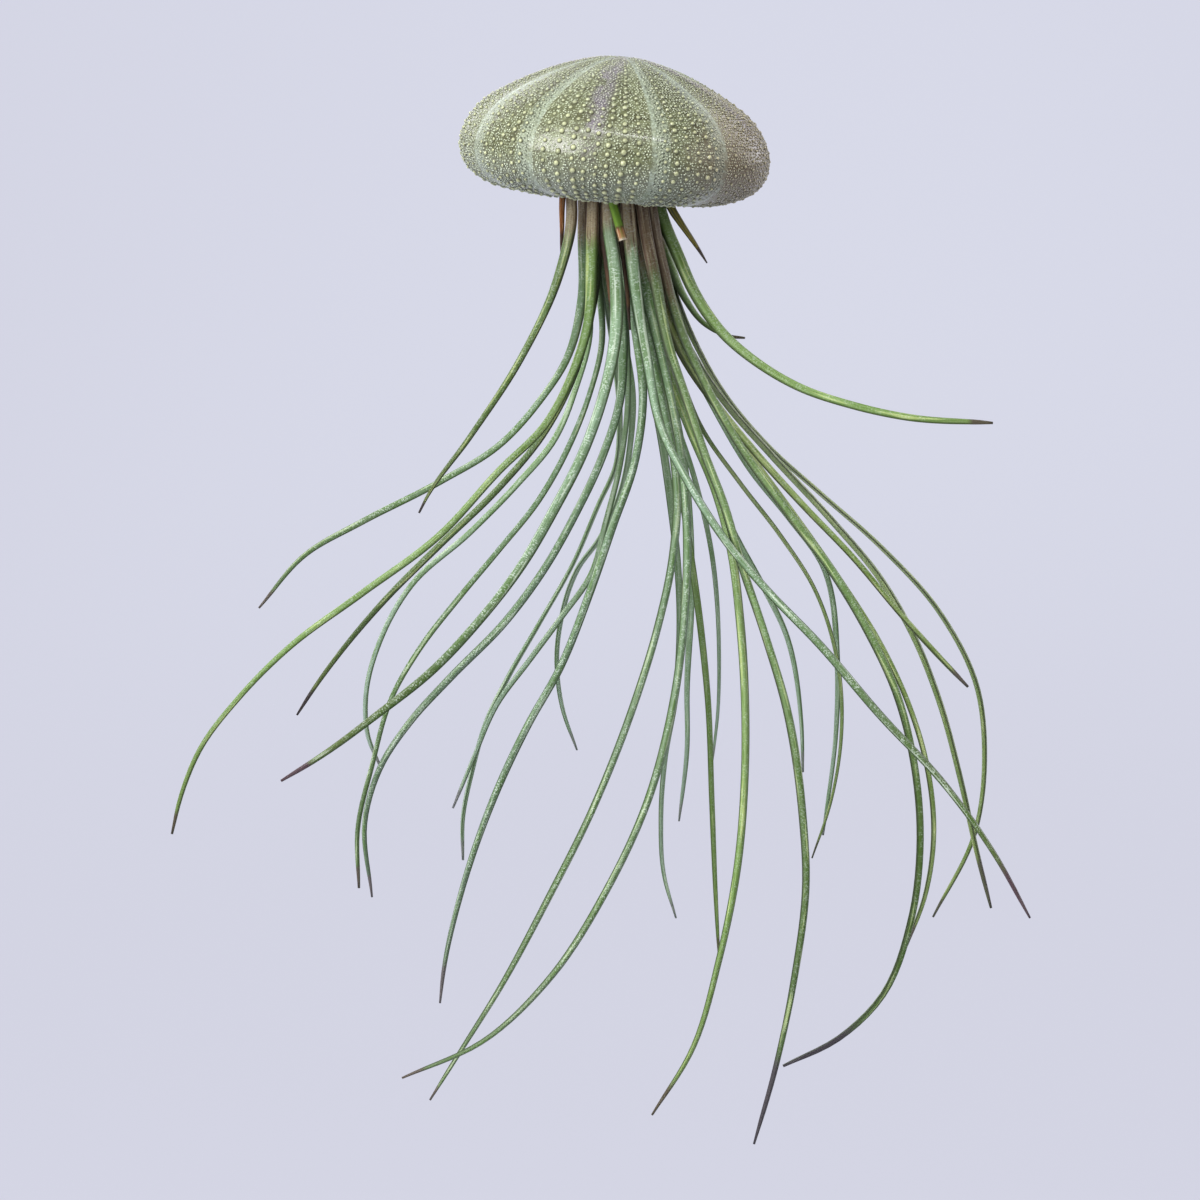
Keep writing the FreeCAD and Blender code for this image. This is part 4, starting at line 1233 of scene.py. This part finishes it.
def makeLeafMaterial(finish):
    material, shader = newMaterial("leaf " + finish)
    tones = {**skinTones, **dict(zip(finishColumns, leafTones[finish]))}
    fades = leafFades
    dry = finish in ("rust", "husk")
    share, across, girth, channel, run, seed, sheathed, tipped = [attributeOf(key) for key in leafValues]
    fromMiddle = calc("ABSOLUTE", across)
    onSkin = times(girth, growth["girth"] * growth["bladeWidth"])
    skin = vectorOf(onSkin, run, timesPlus(channel, growth["channelShift"], seed))
    strand = stretchedOf(skin, strandStretch)
    noise = {key: noiseZone(strand, *leafNoise[key]) for key in ("stripes", "gleams")}
    noise.update({key: noiseZone(skin, *leafNoise[key]) for key in ("fading", "blotches", "patches")})
    # green stripes run along the blade between its pale ridges
    stripes = times(noise["stripes"], timesPlus(noise["fading"], 0.45, 0.27))
    colour = mixTone(stripes, rampOf(share, tones["blade"]), tones["stripe"])
    colour = layered(
        colour, (noise["gleams"], 0.25 if dry else 0.55, tones["gleam"]),
        (noise["blotches"], 0.2, tones["stripe"]),
    )
    # silvery scales lie thickest along the middle of the outer face, which also paints a highlight along the
    # ridge
    flakes = cellZone(skin, *leafCells["flakes"])
    ridge = ease(fromMiddle, *fades["ridge"])
    scales = times(times(flakes, noise["patches"]), tones["scales"])
    scales = times(scales, timesPlus(ridge, 0.7, 0.3))
    scales = times(scales, ease(share, *fades["scalesEnd"]))
    colour = mixTone(scales, colour, tones["scale"])
    # the brown of the sheath, streaked where it fades
    streaks = noiseOf(strand, leafScales["streaks"], roughness=0.6)
    sheath = calc("ADD", sheathed, timesPlus(streaks, 1.5, -0.75))
    sheath = ease(sheath, *fades["sheath"])
    husk = layered(
        tones["sheath"], (ease(streaks, *fades["darkStreaks"]), 0.8, tones["sheathStreak"]),
        (ease(streaks, *fades["paleStreaks"]), 0.5, tones["sheathPale"]),
        (scales, 0.7, tones["sheathScale"]),
        (cellZone(skin, *leafCells["specks"]), 0.5, tones["sheathSpeck"]),
    )
    colour = mixTone(sheath, colour, husk)
    # darker edges, partly the leaf's own margin and partly painted shade, and what only some finishes have
    edge = ease(fromMiddle, *fades["edge"])
    layers = [(edge, 0.92, mixTone(sheath, tones["edge"], tones["sheathEdge"]))]
    if not dry:
        # a pale line along each sheath's edges is a painted highlight
        rim = times(ease(fromMiddle, *fades["rim"]), sheath)
        layers.append((rim, 0.7, tones["sheathRimHighlight"]))
    if finish == "dagger":
        layers.append((ease(fromMiddle, *fades["middle"]), 0.7, tones["daggerMiddle"]))
    if finish == "cut":
        end = ease(share, *fades["cutEnd"])
        lines = noiseZone(strand, *leafNoise["cutLines"])
        layers.append((times(lines, end), 0.75, tones["cutLine"]))
        layers.append((times(edge, end), 0.8, tones["cutEdge"]))
    # dark tip, and a darker channel
    ending = timesPlus(noiseOf(skin, leafScales["ending"], detail=2.0), 0.5, -0.25)
    ending = ease(calc("ADD", tipped, ending), *fades["tip"])
    layers.append((ending, 0.92, tones["tip"]))
    layers.append((channel, 0.2, tones["stripe"]))
    plug(layered(colour, *layers), shader.inputs["Base Color"])
    ribs = noiseOf(strand, leafScales["ribs"], roughness=0.6)
    normal = bumpOf(ribs, *leafRelief["ribs"])
    normal = bumpOf(flakes, *leafRelief["flakes"], under=normal)
    plug(normal, shader.inputs["Normal"])
    gloss = timesPlus(noise["patches"], 0.2, leafGloss["dry" if dry else "living"])
    plug(gloss, shader.inputs["Roughness"])
    shader.inputs["Specular IOR Level"].default_value = 0.4
    return material


def plantRings():
    # radius and height of the place that each ring of leaves grows from
    low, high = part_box("crown")
    rim = (high.x - low.x) / 2 - growth["rimInset"]
    outer = rim - growth["bundleShift"] - growth["ringPitch"]
    top = high.z - growth["flangeThickness"]
    second = top - growth["outerStep"]
    return {
        "rim": (rim, top),
        "outer": (outer, second),
        "between": (outer - growth["ringPitch"] / 3, second),
        "middle": (outer - growth["ringPitch"], second - growth["ringStep"]),
        "inner": (outer - 2 * growth["ringPitch"], second - 2 * growth["ringStep"]),
        "core": (0.0, second - 2 * growth["ringStep"] - growth["coreStep"]),
    }


def leafRoute(name):
    # points of a leaf's middle line from the crown to the tip
    ring, turn, tipShare = leaves[name][:3]
    pixels = leaves[name][-1]
    radius, height = rings[ring]
    angle = radians(turn)
    outward = Vector((sin(angle), -cos(angle), 0))
    shift = 0 if ring == "rim" else growth["bundleShift"]
    base = outward * radius + Vector((shift, 0, height))
    points = [base, base - Vector((0, 0, growth["collarRun"]))]
    if ring == "rim":
        points.append(Vector((base.x, base.y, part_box("shell")[0].z)))
    walked = lengthwise([Vector(pixel) for pixel in pixels])
    for (px, py), length in zip(pixels, walked):
        share = length / walked[-1]
        spread = share ** growth["spreadPower"] * (1 + growth["spreadLate"] * (1 - share))
        depth = base.y + (tipShare * growth["plantReach"] - base.y) * spread
        points.append(photoToModel(px, py, depth))
    return points


def leafSections(name, number, places, ways, reached):
    # at even steps along the leaf: its place, its ways across and outward, and its size there
    ring, turn = leaves[name][:2]
    chance = random.Random(number)
    form = leafForms.get(name, longLeaf)
    blade = growth["bladeWidth"] * leaves[name][3]
    if ring in growth["ringCounts"]:
        count = growth["ringCounts"][ring]
        sheath = 2 * rings[ring][0] * tan(pi / count) - growth["sheathGap"]
    else:
        sheath = blade * rimSheathShares.get(name, growth["rimSheathShare"])
    twist = chance.uniform(-growth["twist"], growth["twist"]) if form is longLeaf else 0.0
    spreads = (growth["waveRate"], growth["wavePhase"], growth["waveSize"])
    waves = [[chance.uniform(*spread) for spread in spreads] for wave in range(growth["waveCount"])]
    if abs(turn) < growth["frontTurns"]:
        turn = facingTurns.get(name, turn * growth["towardViewer"])
    facing = Vector((sin(radians(turn)), -cos(radians(turn)), 0))
    sections = []
    walked = 0
    for row in range(growth["stations"] + 1):
        share = row / growth["stations"]
        target = share * reached[-1]
        while walked < len(places) - 2 and reached[walked + 1] < target:
            walked += 1
            facing = (facing - ways[walked] * facing.dot(ways[walked])).normalized()
        part = (target - reached[walked]) / (reached[walked + 1] - reached[walked])
        place = places[walked].lerp(places[walked + 1], part)
        way = ways[walked].lerp(ways[walked + 1], part).normalized()
        turned = Matrix.Rotation(radians(twist * eased(*growth["twistRun"], share)), 3, way)
        across = turned @ way.cross(facing).normalized()
        bladePart, widthPart, outerPart, channelPart = formAt(form, share)
        if form is longLeaf:
            bladePart = eased(*growth["sheathEnd"], target)
        width = mixed(growth["tipWidth"], mixed(sheath, blade, bladePart), widthPart)
        width *= 1 + sum(size * sin(rate * target + phase) for rate, phase, size in waves)
        heights = (width * outerPart, width * channelPart)
        sections.append((place, across, across.cross(way), width, heights, 1 - bladePart, target))
    return sections


def makeLeaf(name, number):
    finish = leaves[name][4]
    places, ways = smoothRoute(leafRoute(name), growth["routeSteps"])
    reached = lengthwise(places)
    sections = leafSections(name, number, places, ways, reached)
    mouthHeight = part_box("shell")[0].z
    beforeMouth = min(length for place, length in zip(places, reached) if place.z < mouthHeight)
    brownStart, brownStop = brownRuns.get(name, growth["brownEnd"])
    tipRun = tipRuns.get(name, growth["darkTip"])
    rows = growth["stations"]
    bm = bmesh.new()
    bmesh.ops.create_grid(bm, x_segments=growth["around"], y_segments=rows, size=1.0)
    layers = [bm.verts.layers.float.new(key) for key in leafValues]
    for vert in bm.verts:
        # the grid's x becomes the way round the leaf, and its y the way along it
        angle = (vert.co.x + 1) * pi
        row = round((vert.co.y + 1) / 2 * rows)
        place, across, outwards, width, heights, flat, target = sections[row]
        side = cos(angle)
        lift = sin(angle)
        arch = mixed(lift**2, 1 - side**6, flat if lift > 0 else 0)  # a sheath is flatter than a blade
        height = (heights[0] if lift > 0 else heights[1]) * arch + growth["lip"] * lift
        vert.co = place + across * (side * width / 2) + outwards * height
        values = (
            row / rows,
            side,
            1 - abs(1 - angle / pi),  # even steps round the leaf, out and back
            0.5 - 0.5 * lift if abs(side) > growth["edgeZone"] else float(lift < 0),
            target,
            number * growth["seedStep"],
            1 - eased(brownStart, brownStop, target - beforeMouth),
            eased(tipRun, tipRun * growth["tipFade"], reached[-1] - target),
        )
        for layer, value in zip(layers, values):
            vert[layer] = value
    bmesh.ops.remove_doubles(bm, verts=bm.verts, dist=1e-7)
    bmesh.ops.holes_fill(bm, edges=bm.edges, sides=0)
    bmesh.ops.recalc_face_normals(bm, faces=bm.faces)
    finishedPiece(name + "_skin", bm, leafMaterials[finish], "plant", [name])


woodGrain = {
    "stretch": (1.0, 1.0, 0.12),
    "detail": 4.0,
    "fade": (0.35, 0.68),
    "patches": (2.0, 0.3, 0.7),  # detail, and the values between which they fade in
    "patchSize": 6,  # times the grain's
    "patchShare": 0.35,
    "relief": (0.0002, 0.6),  # depth and strength
}


def makeWoodMaterial(name, light, dark, grainScale, roughness):
    material, shader = newMaterial(name)
    place = objectPlace()
    stretched = stretchedOf(place, woodGrain["stretch"])
    grain = noiseZone(stretched, grainScale, woodGrain["detail"], *woodGrain["fade"])
    patches = noiseZone(place, grainScale / woodGrain["patchSize"], *woodGrain["patches"])
    colour = layered(mixTone(grain, light, dark), (patches, woodGrain["patchShare"], dark))
    plug(colour, shader.inputs["Base Color"])
    plug(bumpOf(grain, *woodGrain["relief"]), shader.inputs["Normal"])
    shader.inputs["Roughness"].default_value = roughness
    return material


rings = plantRings()
leafMaterials = {finish: makeLeafMaterial(finish) for finish in leafTones}
for number, name in enumerate(leaves):
    makeLeaf(name, number + 1)
print(len(leaves), "leaves made")

# name, light and dark tone, scale of the grain, and roughness of each wood
woodFinishes = {
    "stop_bead": ("bead wood", (190, 152, 108), (142, 102, 64), 900.0, 0.4),
    "crown": ("crown bark", (128, 104, 78), (66, 48, 34), 420.0, 0.85),
    "root_stubs": ("root bark", (146, 122, 96), (84, 62, 44), 800.0, 0.85),
}
crownTrim = {
    "seed": 5,
    # distance from the axis and number of the leaf bases of each ring
    "rings": ((0.0034, 9), (0.006, 15), (0.0086, 21), (0.0112, 27)),
    "halfSize": (0.0019, 0.0012, 0.00034),
    "sizeSpread": (0.8, 1.1),
    "turnSpread": 0.3,
    "rise": 0.00025,
    "lean": 13,
    "leanSpread": 9,
    "finish": ("leaf bases", (168, 146, 114), (92, 70, 48), 1500.0, 0.75),
}


def makeLeafBases():
    # papery stumps of old leaves lie over each other on top of the crown
    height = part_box("crown")[1].z + crownTrim["rise"]
    turnSpread = crownTrim["turnSpread"]
    chance = random.Random(crownTrim["seed"])
    bm = bmesh.new()
    for radius, count in crownTrim["rings"]:
        for number in range(count):
            turn = 2 * pi * (number + chance.uniform(-turnSpread, turnSpread)) / count
            lean = crownTrim["lean"] + chance.uniform(-1, 1) * crownTrim["leanSpread"]
            size = chance.uniform(*crownTrim["sizeSpread"])
            place = Matrix.Translation((radius * cos(turn), radius * sin(turn), height))
            place = place @ Matrix.Rotation(turn, 4, "Z") @ Matrix.Rotation(radians(-lean), 4, "Y")
            place = place @ Matrix.Diagonal([part * size for part in crownTrim["halfSize"]] + [1])
            bmesh.ops.create_icosphere(bm, subdivisions=2, radius=1, matrix=place)
    finishedPiece("crown_leaf_bases", bm, makeWoodMaterial(*crownTrim["finish"]), "plant")


makeLeafBases()
for name, finish in woodFinishes.items():
    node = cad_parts[name]
    node.data.materials.clear()
    node.data.materials.append(makeWoodMaterial(*finish))
print("crown, roots and bead finished")
